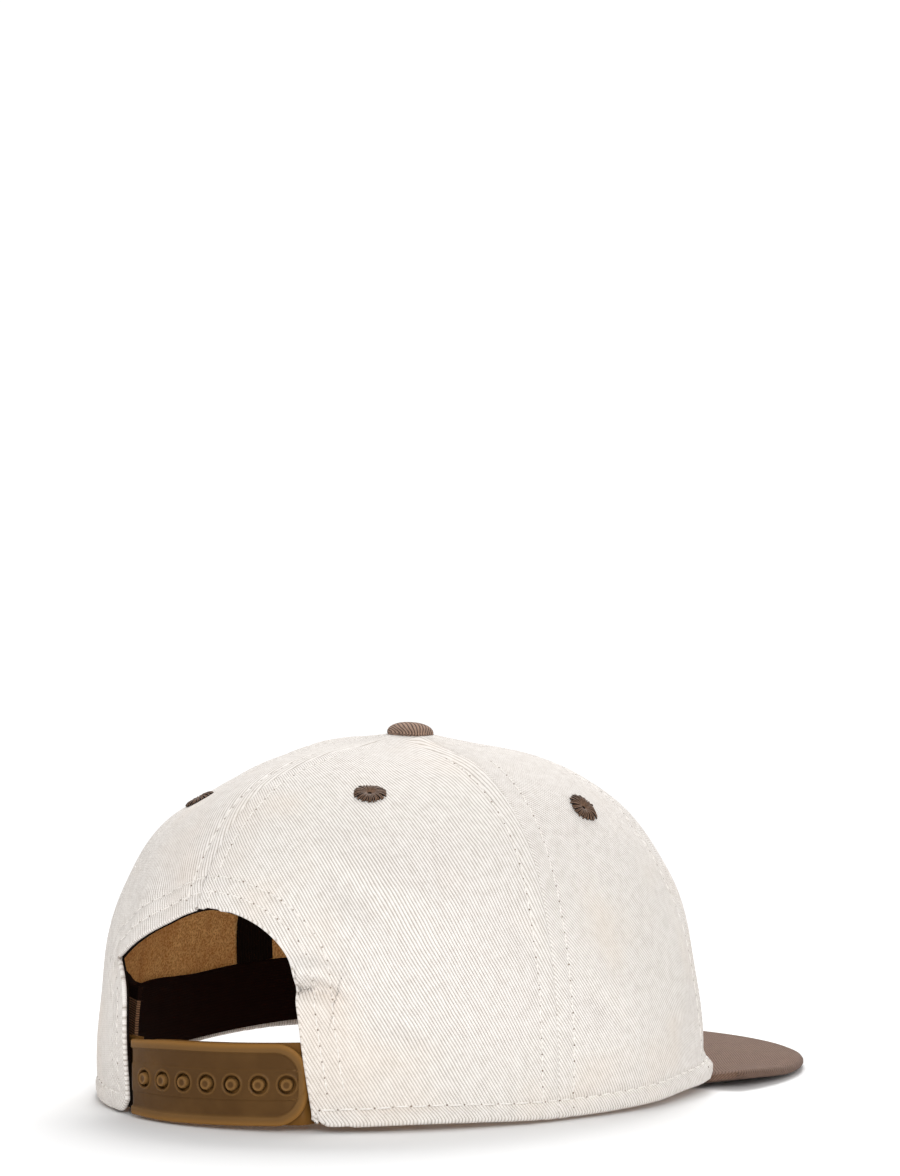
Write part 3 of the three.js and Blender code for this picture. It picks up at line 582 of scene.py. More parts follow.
def twill_finish(name, slant, rib, rib_colour, valley_shade_colour, blotch_colour, blotch, bump, sheen,
                 edge=0.0):
    """Twill: rib number = (across sin slant + along cos slant) / rib, and height = rounded rib
    plus yarn bumps plus fuzz. The valleys are painted darker as shade. edge is how much painted
    shade darkens the cloth toward the piece's edge, round its roll and below it."""
    material, tree, surface = new_finish(name)
    body = wire(tree, "TexCoord", {}, 3)
    drift = calc(tree, "MULTIPLY", calc(tree, "SUBTRACT", noise(tree, body, 90.0, 2.0), 0.5), 0.8)
    across, along, _ = layer_parts(tree)
    sine, cosine = math.sin(slant), math.cos(slant)
    rib_place = calc(tree, "ADD", calc(tree, "MULTIPLY", across, sine / rib),
                     calc(tree, "MULTIPLY_ADD", along, cosine / rib, drift))
    yarn_place = calc(tree, "SUBTRACT", calc(tree, "MULTIPLY", across, cosine / YARN_PITCH),
                      calc(tree, "MULTIPLY", along, sine / YARN_PITCH))
    rib_number = calc(tree, "FLOOR", rib_place)
    shift = calc(tree, "MULTIPLY", rib_number, YARN_SHIFT)
    rounded = calc(tree, "ABSOLUTE", calc(tree, "SINE", calc(tree, "MULTIPLY", rib_place, math.pi)))
    dome = calc(tree, "POWER", rounded, 0.6)
    turn_yarn = calc(tree, "MULTIPLY", calc(tree, "ADD", yarn_place, shift), 2 * math.pi)
    yarn = calc(tree, "MULTIPLY_ADD", calc(tree, "SINE", turn_yarn), 0.5, 0.5)
    fuzz = noise(tree, body, 2600.0, 2.0)
    height = calc(tree, "MULTIPLY_ADD", yarn, 0.28, calc(tree, "MULTIPLY", dome, 0.72))
    height = calc(tree, "MULTIPLY_ADD", fuzz, 0.25, height)
    shade = calc(tree, "MULTIPLY_ADD", yarn, 0.22, calc(tree, "MULTIPLY", dome, 0.78))
    uneven = noise(tree, body, 420.0, 3.0)
    shade = calc(tree, "MULTIPLY_ADD", calc(tree, "SUBTRACT", uneven, 0.5), 0.5, shade)
    colour = mixed(tree, stepped(tree, shade, 0.1, 1.0), valley_shade_colour, rib_colour)
    stain = stepped(tree, noise(tree, body, 23.0, 2.0), 0.50, 0.72)
    colour = mixed(tree, calc(tree, "MULTIPLY", stain, blotch), colour, blotch_colour)
    slow = stepped(tree, noise(tree, body, 9.0, 3.0), 0.3, 0.7, 0.975, 1.02)
    if edge:
        edge_shade = stepped(tree, layer_parts(tree, "edge")[0], -0.5, 1.4, 1 - edge, 1.0)
        slow = calc(tree, "MULTIPLY", slow, edge_shade)
    hue = wire(tree, "HueSaturation", {"Color": colour, "Value": slow})
    values = {"Roughness": 0.92, "Specular IOR Level": 0.18, "Sheen Weight": sheen,
              "Sheen Roughness": 0.45}
    dress(tree, surface, hue, height, 1.0, bump, values)
    return material


# In each twill below, the second colour is painted shade in the valleys between ribs; the first is the
# yarn's own colour.
TWILL_SLANT = math.radians(58)
bone_twill = twill_finish(
    "bone_twill", TWILL_SLANT, 0.88, tint(236, 231, 226), tint(178, 168, 158),
    tint(226, 209, 192), 0.30, 0.20, 0.04)
# Its edge=0.2 paints shade round the peak's edge roll and on its underside.
brown_twill = twill_finish(
    "brown_twill", math.radians(51), 0.85, tint(132, 106, 91), tint(56, 37, 28),
    tint(102, 78, 64), 0.50, 0.22, 0.05, edge=0.2)
button_twill = twill_finish(
    "button_twill", math.radians(35), 1.15, tint(166, 136, 118), tint(12, 5, 2),
    tint(92, 68, 56), 0.30, 0.45, 0.05)
print("twill finishes made")

# %% [markdown]
# ## The inside's finishes
# The backing cloth is a kraft-tan, flecked with lighter and darker fibres. The dark tapes, the
# binding and the sweatband are a near-black brown with fine ribs that run along them. Threads are
# bone in the crown and brown in the eyelets, and the needle holes are a dull shadow colour.

# %% Lining, tape, thread and holes
def fleck_finish():
    """Kraft-tan backing: small flecks, and slow orange and dark clouds."""
    material, tree, surface = new_finish("kraft_backing")
    body = wire(tree, "TexCoord", {}, 3)
    flecks = stepped(tree, noise(tree, body, 1500.0, 2.0), 0.35, 0.65)
    grain = stepped(tree, noise(tree, body, 480.0, 3.0), 0.35, 0.7)
    clouds = stepped(tree, noise(tree, body, 45.0, 2.0), 0.4, 0.7)
    colour = mixed(tree, flecks, tint(176, 126, 70), tint(236, 190, 128))
    colour = mixed(tree, calc(tree, "MULTIPLY", grain, 0.45), colour, tint(190, 140, 82))
    colour = mixed(tree, calc(tree, "MULTIPLY", clouds, 0.40), colour, tint(168, 108, 48))
    dress(tree, surface, colour, flecks, 0.8, 0.12, {"Roughness": 0.95, "Specular IOR Level": 0.12})
    return material


def ribbed_finish(name, dark, light, rib, bump):
    """Woven tape: a sine across its height gives ribs, painted lighter on their crests and darker
    between them as shade, and noise breaks them up.
    """
    material, tree, surface = new_finish(name)
    body = wire(tree, "TexCoord", {}, 3)
    along, across, _ = layer_parts(tree)
    wave = calc(tree, "SINE", calc(tree, "MULTIPLY", across, 2 * math.pi / rib))
    cross = calc(tree, "SINE", calc(tree, "MULTIPLY", along, 2 * math.pi / 0.7))
    ribs = calc(tree, "MULTIPLY_ADD", wave, 0.5, 0.5)
    height = calc(tree, "MULTIPLY_ADD", cross, 0.12, ribs)
    lint = calc(tree, "MULTIPLY", noise(tree, body, 700.0, 3.0), 0.7)
    colour = mixed(tree, calc(tree, "MULTIPLY", calc(tree, "ADD", ribs, lint), 0.6), dark, light)
    dress(tree, surface, colour, height, 1.0, bump, {"Roughness": 0.92, "Specular IOR Level": 0.08})
    return material


def thread_finish(name, dark, light, roughness, sheen, shade_lower_half=False):
    """Thread: fine noise between two shades, with a soft satin sheen. Threads that lie side by
    side get painted shade toward their lower half, by the height that the cloth layer holds,
    so that the gaps between them are painted dark."""
    material, tree, surface = new_finish(name)
    body = wire(tree, "TexCoord", {}, 3)
    fibre = stepped(tree, noise(tree, body, 1900.0, 2.0), 0.3, 0.7)
    if shade_lower_half:
        fibre = calc(tree, "MULTIPLY", stepped(tree, fibre, 0.0, 1.0, 0.6, 1.0),
                     stepped(tree, layer_parts(tree)[1], 0.35, 1.0))
    dress(tree, surface, mixed(tree, fibre, dark, light), fibre, 0.7, 0.08,
          {"Roughness": roughness, "Specular IOR Level": 0.3, "Sheen Weight": sheen})
    return material


kraft_backing = fleck_finish()
dark_tape = ribbed_finish("dark_tape", tint(9, 4, 2), tint(24, 14, 9), 1.1, 0.08)
sweatband_cloth = ribbed_finish("sweatband_cloth", tint(16, 4, 2), tint(26, 10, 5), 1.05, 0.05)
# A lighter copy of the sweatband's cloth: painted light for the band's lit end.
band_end_painted_light = ribbed_finish("band_end_painted_light", tint(40, 24, 15), tint(150, 112, 84), 0.95, 0.22)
bone_thread = thread_finish("bone_thread", tint(226, 220, 213), tint(244, 240, 235), 0.6, 0.03)
# The dark colour is painted shade between and under the eyelet's threads.
brown_thread = thread_finish("brown_thread", tint(16, 7, 3), tint(128, 97, 75), 0.6, 0.0,
                             shade_lower_half=True)
needle_shadow = thread_finish("needle_shadow", tint(112, 98, 86), tint(140, 124, 110), 0.9, 0.0)
print("inside and thread finishes made")

# %% [markdown]
# ## The strap's plastic
# The strap is moulded from an olive-brown plastic. A real one lets a little warm light through
# at its edges. Here it is solid and satin: a lighter amber near its edges stands in for that
# light, a lighter colour on its raised lines and peg rims is a painted highlight, and a faint
# ripple and scuffs break up the shine.

# %% Strap plastic
def plastic_finish():
    """Satin plastic: warm brown, lighter near the edge by the distance from it as painted light let
    through, and lighter on raised lines as a painted highlight, with scuffs in its roughness."""
    material, tree, surface = new_finish("strap_plastic")
    body = wire(tree, "TexCoord", {}, 3)
    inside, highlight_mark, _ = layer_parts(tree)
    clouds = stepped(tree, noise(tree, body, 60.0, 3.0), 0.35, 0.7)
    colour = mixed(tree, clouds, tint(78, 53, 25), tint(90, 63, 32))
    near_edge = stepped(tree, inside, 0.2, 1.9, 0.70, 0.0)
    colour = mixed(tree, near_edge, colour, tint(136, 92, 34))
    ridge_highlight = calc(tree, "MULTIPLY", highlight_mark, 0.36)
    colour = mixed(tree, ridge_highlight, colour, tint(140, 104, 60))
    scuffs = stepped(tree, noise(tree, body, 900.0, 4.0), 0.4, 0.75, 0.42, 0.60)
    tree.links.new(scuffs, surface.inputs["Roughness"])
    ripple = noise(tree, body, 130.0, 2.0)
    dress(tree, surface, colour, ripple, 0.5, 0.12, {"IOR": 1.45, "Specular IOR Level": 0.10})
    return material


strap_plastic = plastic_finish()
print("strap plastic made")

# %% [markdown]
# ## A sheet with a folded edge
# Panels, linings, the sweatband and the peak are all sheets with some thickness. One ring of
# points goes down the outer face, round the edge in a half circle and back up the inner face;
# the rings of all columns side by side close the body, and its two ends are filled in.

# %% Sheet body
EDGE_TURNS = np.radians([36, 72, 108, 144])


def sheet_body(outer, inner):
    """Joins two grids (rows, cols, xyz) into one body whose last row is rounded over a half circle."""
    cols = outer.shape[1]
    half = (outer[-1] - inner[-1]) / 2
    middle = (outer[-1] + inner[-1]) / 2
    size = np.linalg.norm(half, axis=-1, keepdims=True)
    last = outer[-1] - outer[-2]
    edge_way = np.gradient(outer[-1], axis=0)
    beyond = unit(np.cross(edge_way, half))
    beyond *= np.where((beyond * last).sum(-1, keepdims=True) < 0, -1, 1)
    angle = EDGE_TURNS[:, None, None]
    rounded = middle + half * np.cos(angle) + beyond * size * np.sin(angle)
    ring = np.concatenate([outer, rounded, inner[::-1]])
    count = len(ring)
    near = np.arange(count // 2 - 1)
    index = np.arange(count * cols).reshape(count, cols)
    far = count - 1 - near
    ends = [np.stack([index[near, c], index[near + 1, c], index[far - 1, c], index[far, c]], -1)
            for c in (0, cols - 1)]
    faces = [grid_faces(count, cols, wrap_rows=True), ends[0][:, ::-1], ends[1]]
    return ring.reshape(-1, 3), faces


def sheet_cloth(grid):
    """The flat-cloth places of a sheet body: the outer rows, the last row round the edge, then
    the rows back."""
    around = np.repeat(grid[-1:], len(EDGE_TURNS), 0)
    return np.concatenate([grid, around, grid[::-1]]).reshape(-1, 2)


# %% [markdown]
# ## The five panels
# Each panel is cut as a long petal. Its columns run from the button to the rim or to the arch,
# and its rows are evenly spaced along the cloth. The cloth is doubled where it is turned in at
# the rim. The weave is laid flat on each petal: across from its middle line and up from the rim.
# The left back panel is planned with a straight leg beside the opening, and is then moved to
# where that leg bulges.

# %% Panel layout
PANEL_ROWS = 150
BUTTON_HOLE = 2.6
SEAM_GAP = 0.04
CLOTH_THICK = 1.2
HEM_THICK = 2.3
BULGE_REACH = 34.0
ARCH_THICK = 1.15
LENGTH_STEPS = 240
# Where the centre seam meets the arch, and how far into the arch's fine line each half starts.
CENTRE_SHARE, ARCH_CUT, ARCH_START = 0.65, 0.4, 60
rim_run = lambda start, stop, count: (np.linspace(start, stop, count + 1), np.ones(count + 1))
leg_run = lambda half: [np.concatenate([[top], x[ARCH_START:]])
                        for top, x in zip((top_turn, top_down), half)]
top_turn = seam_turn(SEAMS["centre_back"], CENTRE_SHARE)
top_down = down_at(1.0, ARCH_TOP - ARCH_CUT)
ARCH_COLUMNS = 64
centre_again = (SEAMS["centre_back"][0] + 360, SEAMS["centre_back"][1])
right_edge = evenly(*leg_run(right_arch), ARCH_COLUMNS)
left_turns, left_downs = leg_run(left_plan)
left_edge = evenly(left_turns + 360, left_downs, ARCH_COLUMNS)
at_rim = {name: seam[0] for name, seam in SEAMS.items()}
PANELS = {
    "back_right": (SEAMS["centre_back"], SEAMS["side_back_right"],
                   chain(right_edge, rim_run(RIGHT_LEG, at_rim["side_back_right"], 72))),
    "side_right": (SEAMS["side_back_right"], SEAMS["front_right"],
                   rim_run(at_rim["side_back_right"], at_rim["front_right"], 78)),
    "front": (SEAMS["front_right"], SEAMS["front_left"],
              rim_run(at_rim["front_right"], at_rim["front_left"], 186)),
    "side_left": (SEAMS["front_left"], SEAMS["side_back_left"],
                  rim_run(at_rim["front_left"], at_rim["side_back_left"], 60)),
    "back_left": (SEAMS["side_back_left"], centre_again,
                  chain(rim_run(at_rim["side_back_left"], LEFT_LEG + 360, 60),
                        [x[::-1] for x in left_edge])),
}


def panel_places(low, high, edge, rows, short_of_edge):
    """Turn and down of a panel's grid: columns drift from their share at the button to their
    share at their end, as t squared."""
    end_turn, end_down = edge
    length = run_length(upright_crown(end_turn, end_down))
    start_share = length / length[-1]
    width = lambda down: seam_turn(high, down) - seam_turn(low, down)
    end_share = (end_turn - seam_turn(low, end_down)) / width(end_down)
    reach, roundness = profile(seam_turn(low, 0) + width(0) * start_share)[:2]
    first = np.arcsin((BUTTON_HOLE / reach) ** (1 / roundness)) * 2 / np.pi
    k = (np.arange(LENGTH_STEPS + 1) / LENGTH_STEPS)[:, None] ** 2
    down = first + (end_down - first) * k
    t = down / end_down
    turn = seam_turn(low, down) + width(down) * (start_share + (end_share - start_share) * t * t)
    along = run_length(upright_crown(turn, down))
    want = np.linspace(0, 1, rows + 1)[:, None] * (along[-1] - short_of_edge)
    columns = range(along.shape[1])
    turns = np.stack([np.interp(want[:, c], along[:, c], turn[:, c]) for c in columns], 1)
    downs = np.stack([np.interp(want[:, c], along[:, c], down[:, c]) for c in columns], 1)
    return turns, downs


def bulged(turns, downs):
    """Turns the straight left leg that the panel is planned with into the bulging one, at equal
    heights."""
    heights = height_at(turns, downs)
    beyond = ARCH_MIDDLE + 360 - turns - np.interp(heights, bulge_heights, plan_half)
    move = np.interp(heights, bulge_heights, bulge) * (1 - ease(beyond / BULGE_REACH))
    return turns - move, np.where(move > 1e-6, down_at(turns - move, heights), downs)


def beside_seams(turns, downs, gap):
    """Moves the first and last column half a gap away from their seams."""
    half = gap / 2 / millimetres_per_degree(turns[:, [0, -1]], downs[:, [0, -1]])
    turns = turns.copy()
    turns[:, 0] += half[:, 0]
    turns[:, -1] -= half[:, 1]
    return turns


def flat_cloth(low, high, turns, downs):
    """Each place on the flat petal: millimetres across from the middle line, and up from the rim."""
    middle = (seam_turn(low, downs) + seam_turn(high, downs)) / 2
    across = look_up(ROUND_TABLE, turns, downs) - look_up(ROUND_TABLE, middle, downs)
    return np.stack([across, look_up(UP_TABLE, turns, downs)], -1)


# %% Panels
def cloth_thickness(turns, downs):
    """One layer of twill, thicker where it is turned in at the rim, a little thinner at the arch."""
    up = look_up(UP_TABLE, turns % 360, downs)
    arch = from_arch(turns, downs)
    rim_part = ease((11.5 - up) / 1.5) * (HEM_THICK - CLOTH_THICK)
    at_arch = ease((11.0 - arch) / 1.5)
    return CLOTH_THICK + rim_part * (1 - at_arch) + at_arch * (ARCH_THICK - CLOTH_THICK)


CORNER = 4.0


def hem_corner(edge):
    """Lifts the rim beside the arch's legs: a quarter circle of CORNER millimetres."""
    turn, down = edge
    right = (turn - RIGHT_LEG) % 360 * millimetres_per_degree(RIGHT_LEG, 1.0)
    left = (LEFT_LEG - turn) % 360 * millimetres_per_degree(LEFT_LEG, 1.0)
    away = np.clip(1 - np.minimum(right, left) / CORNER, 0, 1)
    lift = CORNER * (1 - np.sqrt(1 - away ** 2)) * 0.7
    lifted = 1 - lift * 0.05 / look_up(UP_TABLE, turn, 0.95)
    return turn, np.where(down > 0.97, np.minimum(down, lifted), down)


for name, (low, high, edge) in PANELS.items():
    on_arch = from_arch(*(bulged(*edge) if name == "back_left" else edge)) < 0.5
    edge = hem_corner(edge)
    edge_round = np.where(on_arch, ARCH_THICK, HEM_THICK) / 2 + 0.15
    turns, downs = panel_places(low, high, edge, PANEL_ROWS, edge_round)
    if name == "back_left":
        turns, downs = bulged(turns, downs)
    turns = beside_seams(turns, downs, SEAM_GAP)
    thick = cloth_thickness(turns, downs)
    outer = cloth_face(turns, downs)
    inner = wall(turns, downs, thick - folds(turns, downs))
    points, faces = sheet_body(outer, inner)
    cloth = sheet_cloth(flat_cloth(low, high, turns, downs))
    piece(f"panel_{name}_cloth", points, faces, bone_twill, [f"panel_{name}"], cloth)

# %% [markdown]
# ## Linings
# A backing cloth lies inside each panel. It stops short of the turned-in hems, which cover its
# cut edge.

# %% Linings
LINING_DEPTHS = (2.1, 2.7)
LINING_SHORT = 10.5
LINING_FROM_ARCH = 9.5
LINING_GAP = 0.3
for name, (low, high, edge) in PANELS.items():
    coarse = tuple(x[::2] if len(x) % 2 else np.append(x[:-1:2], x[-1]) for x in edge)
    turns, downs = panel_places(low, high, coarse, PANEL_ROWS // 2, LINING_SHORT)
    if name == "back_left":
        turns, downs = bulged(turns, downs)
    turns = beside_seams(turns, downs, LINING_GAP)
    side = {"back_right": 1, "back_left": -1}.get(name, 0)
    too_near = np.maximum(0, LINING_FROM_ARCH - from_arch(turns, downs))
    turns = turns + side * too_near / millimetres_per_degree(turns, downs)
    move = folds(turns, downs)
    outer, inner = (wall(turns, downs, depth - move) for depth in LINING_DEPTHS)
    points, faces = sheet_body(outer, inner)
    piece(f"lining_{name}_cloth", points, faces, kraft_backing, [f"lining_{name}"])

# %% [markdown]
# ## Seam tapes and the arch's binding
# Inside, a tape covers each seam: dark at the centre back and at the front, tan like the lining
# at the side backs. Each is a flat oval strip laid along its seam. The dark binding is a sheet
# that follows the arch's edge, a little closer to the cloth on the wearer's left leg.

# %% Tapes
def strip_body(centre_turns, centre_downs, half_turns, depth, thick, places):
    """A strip on the inside of the wall. Each cross-section is a flat oval: powers of cosine
    across and of sine through."""
    angle = np.linspace(0, 2 * np.pi, places, endpoint=False)
    wide = np.sign(np.cos(angle)) * np.abs(np.cos(angle)) ** 0.35
    through = np.sign(np.sin(angle)) * np.abs(np.sin(angle)) ** 0.6
    turns = centre_turns[:, None] + half_turns[:, None] * wide
    downs = centre_downs[:, None]
    points = wall(turns, downs, depth + thick / 2 * (1 + through) - folds(turns, downs))
    rows = len(centre_turns)
    start = np.arange(places)
    caps = [start[None, ::-1], (start + (rows - 1) * places)[None, :]]
    return points, [grid_faces(rows, places, wrap_cols=True), *caps], wide


TAPE_HALF, TAPE_OVER_ARCH, TAPE_ABOVE_BAND, TAPE_SIDES = 7.4, 0.085, 0.3, 20
# Depth and thickness, dark and tan.
DARK_TAPE_BODY, TAN_TAPE_BODY = (3.05, 0.55), (2.75, 0.25)
TAPES = {
    "centre_back": (0.12, float(top_down) - TAPE_OVER_ARCH),
    "side_back_right": (0.20, None),
    "front_right": (0.09, None),
    "front_left": (0.09, None),
    "side_back_left": (0.20, None),
}
SWEATBAND_HEIGHT = 23.0
for name, (start, foot) in TAPES.items():
    seam = SEAMS[name]
    if foot is None:
        foot = float(down_at(seam[0], profile(seam[0])[4] + SWEATBAND_HEIGHT + TAPE_ABOVE_BAND))
    downs = np.linspace(start, foot, 70)
    turns = seam_turn(seam, downs)
    half = TAPE_HALF / millimetres_per_degree(turns, downs)
    tan = name.startswith("side_back")
    depth, thick = TAN_TAPE_BODY if tan else DARK_TAPE_BODY
    points, faces, wide = strip_body(turns, downs, half, depth, thick, TAPE_SIDES)
    length = look_up(UP_TABLE, turns, downs)
    cloth = np.stack([np.repeat(length, len(wide)), np.tile(wide * TAPE_HALF, len(turns))], -1)
    finish, slot = (kraft_backing, "tan_lining") if tan else (dark_tape, "dark_tape")
    piece(f"seam_tape_{name}_woven", points.reshape(-1, 3), faces, finish,
          [f"seam_tape_{name}"], cloth)

# %% Arch binding
BINDING_WIDTH = 9.0
BINDING_DEPTHS = (1.9, 2.6)
BINDING_LEFT_CLOSER = 0.55
BINDING_BACK, BINDING_FOOT = 0.35, 0.996
along = np.linspace(1, 0, 70)
halves = ((ARCH_LEFT, along), (ARCH_RIGHT, along[::-1]))
(near_turns, near_downs), (far_turns, far_downs) = (
    chain(*(arch_edge(side, a, wider) for side, a in halves))
    for wider in (BINDING_BACK, BINDING_BACK + BINDING_WIDTH))
near_downs, far_downs = np.minimum(near_downs, BINDING_FOOT), np.minimum(far_downs, BINDING_FOOT)
inward_share = np.linspace(0, 1, 14)[:, None]
turns = far_turns + (near_turns - far_turns) * inward_share
downs = far_downs + (near_downs - far_downs) * inward_share
move = folds(turns, downs)
closer = BINDING_LEFT_CLOSER * ease((ARCH_MIDDLE - turns) / 12)
outer, inner = (wall(turns, downs, depth - closer - move) for depth in BINDING_DEPTHS)
points, faces = sheet_body(outer, inner)
length = run_length(outer[-1])
across = np.broadcast_to(BINDING_WIDTH * (1 - inward_share), turns.shape)
cloth = sheet_cloth(np.stack([np.broadcast_to(length, turns.shape), across], -1))
piece("arch_binding", points, faces, dark_tape, ["arch_tape"], cloth)

# %% [markdown]
# ## Sweatband
# A ribbed band follows the inside of the rim. Toward its ends it steps inward over the tabs of
# the strap, as on a real cap. Its upper edge rises toward the wearer's left leg of the arch,
# where the band's end has coarser ribs and a lighter colour, painted light standing in for the
# light that reaches it there.

# %% Sweatband
BAND_END_TURN, BAND_END_HEIGHT, BAND_END_SLANT = 302.0, 31.5, 0.6
BAND_DEPTH, BAND_THICK, BAND_STEP_IN, BAND_FOOT = 3.05, 1.1, 3.9, 0.992
turns = np.linspace(RIGHT_LEG + 1, LEFT_LEG + 360 - 5.2, 300)
rim_heights = profile(turns)[4]
rise = -0.2 + 3.8 * ease((turns - 272) / 28) + 10.5 * ease((turns - 299) / 20)
top = down_at(turns, rim_heights + SWEATBAND_HEIGHT + rise)
away = np.minimum(turns - RIGHT_LEG, LEFT_LEG + 360 - turns)
step_in = BAND_STEP_IN * np.clip((14 - away) / 5, 0, 1)
wave = 0.12 * np.sin(turns * 0.9) + 0.08 * np.sin(turns * 2.3 + 1)
heights = np.linspace(0, 1, 16)[:, None]
downs = BAND_FOOT + (top - BAND_FOOT) * heights
sag = wave * heights
outer = wall(np.broadcast_to(turns, downs.shape), downs, BAND_DEPTH + step_in + sag * 0.4)
inner = wall(np.broadcast_to(turns, downs.shape), downs, BAND_DEPTH + BAND_THICK + step_in + sag)
points, faces = sheet_body(outer, inner)
around = look_up(ROUND_TABLE, np.broadcast_to(turns, downs.shape), np.full(downs.shape, 0.98))
cloth = sheet_cloth(np.stack([around, heights * (SWEATBAND_HEIGHT + rise)], -1))
band = piece("sweatband_cloth_band", points, faces, sweatband_cloth,
             ["sweatband"], cloth)
band.data.materials.append(band_end_painted_light)
# Faces past the band's end take the lighter copy of the band's cloth: painted light where light
# reaches the band.
end_around = float(look_up(ROUND_TABLE, BAND_END_TURN, 0.98))
first = np.zeros(len(band.data.polygons), np.int32)
band.data.polygons.foreach_get("loop_start", first)
uvs = np.zeros(len(band.data.loops) * 2)
band.data.uv_layers["cloth"].data.foreach_get("uv", uvs)
along, up = uvs[::2][first], uvs[1::2][first]
painted_lit_end = (along > end_around + BAND_END_SLANT * up) & (up < BAND_END_HEIGHT)
band.data.polygons.foreach_set("material_index", painted_lit_end.astype(np.int32))

# %% [markdown]
# ## Peak
# The peak is a stiff board covered with brown twill. It leaves the rim as a curve and ends on
# an ellipse that rests on the surface at its middle. Its edge is a narrow band with the roll of
# the seam along its top.

# %% Peak
PEAK_HALF_WIDTH, PEAK_LENGTH, PEAK_MIDDLE = 88.0, 84.0, -65.8
PEAK_END_ANGLE, PEAK_ROOT_TURN, PEAK_THICK = 99.0, 58.0, 3.0
PEAK_RISE_LEFT, PEAK_RISE_RIGHT, PEAK_END_RISE = 3.4, 1.4, 2.0
PEAK_TUCK, PEAK_ROOT_DEPTH, PEAK_CORNER_ANGLE = 5.0, 4.4, 78
peak_cols, peak_rows = 180, 70


def peak_middle(f, out, tucked):
    """Middle of the board: a straight line from the root under the rim to the edge's ellipse."""
    turn = 180 + math.degrees(TWIST) + f * PEAK_ROOT_TURN
    rim = wall(turn, 1.0, 0.0)
    inner = wall(turn, 1.0, PEAK_ROOT_DEPTH)
    lift = rim[..., 2] - 0.3 - PEAK_THICK / 2
    angle = np.radians(f * PEAK_END_ANGLE)
    edge_x = PEAK_HALF_WIDTH * np.sin(angle) + SIT[0] - 0.4
    edge_y = PEAK_MIDDLE - PEAK_LENGTH * np.cos(angle) + SIT[1]
    side = np.minimum(1, (1 - np.cos(angle)) ** 0.8)
    past_corner = np.abs(f) * PEAK_END_ANGLE - PEAK_CORNER_ANGLE
    end = np.maximum(0, past_corner) / (PEAK_END_ANGLE - PEAK_CORNER_ANGLE)
    rise = np.where(f > 0, PEAK_RISE_LEFT, PEAK_RISE_RIGHT)
    edge_z = PEAK_THICK / 2 + rise * side + PEAK_END_RISE * end
    reach = np.hypot(edge_x - inner[..., 0], edge_y - inner[..., 1])
    tuck = np.minimum(0.8, PEAK_TUCK / reach)
    t = np.where(tucked, 0, tuck + (1 - tuck) * out)
    x = inner[..., 0] + (edge_x - inner[..., 0]) * t
    y = inner[..., 1] + (edge_y - inner[..., 1]) * t
    return np.stack([x, y, lift + (edge_z - lift) * out], -1), reach * (1 - tuck)


f = np.linspace(-1, 1, peak_cols + 1)[None, :]
out = np.concatenate([[0.0], np.linspace(0, 1, peak_rows)])[:, None]
tucked = (np.arange(peak_rows + 1) == 0)[:, None]
_, span = peak_middle(f, out * 0, tucked)
near_edge = out * (1 - 0.8 / np.maximum(span, 6))
middle, span = peak_middle(f, near_edge, tucked)
from_edge = (1 - near_edge) * span
ends = np.where(np.abs(f) > 0.985, 0.6 + 0.4 * (1 - np.abs(f)) / 0.015, 1.0)
half = PEAK_THICK / 2 * ends
shoulder = 0.45 * np.exp(-np.maximum(0, from_edge - 0.6) / 0.5)
ripple = 0.10 * np.sin(middle[..., 0] * 0.16 + 0.8) * np.sin(middle[..., 1] * 0.12)
top_lift = half - shoulder * half * 0.8 + ripple * ease(from_edge / 8) * ease((from_edge - 1) / 3)
low_lift = half - shoulder * half * 0.6
step = np.array([0.0, 0.0, 1.0])
outer = middle + step * top_lift[..., None]
inner = middle - step * low_lift[..., None]
points, faces = sheet_body(outer, inner)
flat = sheet_cloth(middle[..., :2]) + points[:, 2:] * np.array([0.5, 1.0])
# The edge layer holds the distance from the edge on top, and -1 round the edge and below, where the
# twill gets painted shade.
below = np.full((len(EDGE_TURNS) + len(from_edge), peak_cols + 1), -1.0)
rolled = np.concatenate([from_edge, below]).ravel()
rolled = np.stack([rolled, rolled * 0], -1)
piece("peak_board", points, faces, brown_twill, ["peak"], flat, edge=rolled)
print("peak, widest:", round(float(np.ptp(points[:, 0])), 1), "mm")

# %% [markdown]
# ## Plates with holes
# The strap's halves are plates. A plate is planned flat: square blocks, each with a round hole
# that its grid closes in on, between even rows of small squares. Equal points are then joined,
# and the plan is drawn twice, for the front and the back face, with walls along every free edge.
# A square block's faces run the other way round from an even block's, so they face inward.

# %% Plate plan
HOLE_PITCH, FIRST_HOLE, HOLE_COUNT, HOLE_RADIUS = 8.37, -18.1, 7, 2.6
BLOCK_CELLS = 20
BLOCK_RINGS = 8


def square_block(centre):
    """A square of side HOLE_PITCH round a hole: rings circle + (square - circle) t, with t a
    power of the ring's number."""
    side = np.linspace(-1, 1, BLOCK_CELLS + 1)[:-1]
    one = np.ones(BLOCK_CELLS)
    x = np.concatenate([side, one, -side, -one])
    y = np.concatenate([-one, side, one, -side])
    square = np.stack([x, y], -1) * HOLE_PITCH / 2
    circle = unit(square) * HOLE_RADIUS
    t = (np.linspace(0, 1, BLOCK_RINGS + 1) ** 1.3)[:, None, None]
    points = circle + (square - circle) * t + [centre, 0]
    return points.reshape(-1, 2), grid_faces(BLOCK_RINGS + 1, len(x), wrap_cols=True)


def even_block(xs, ys):
    """An even grid of small squares."""
    gx, gy = np.meshgrid(xs, ys)
    return np.stack([gx, gy], -1).reshape(-1, 2), grid_faces(len(ys), len(xs))


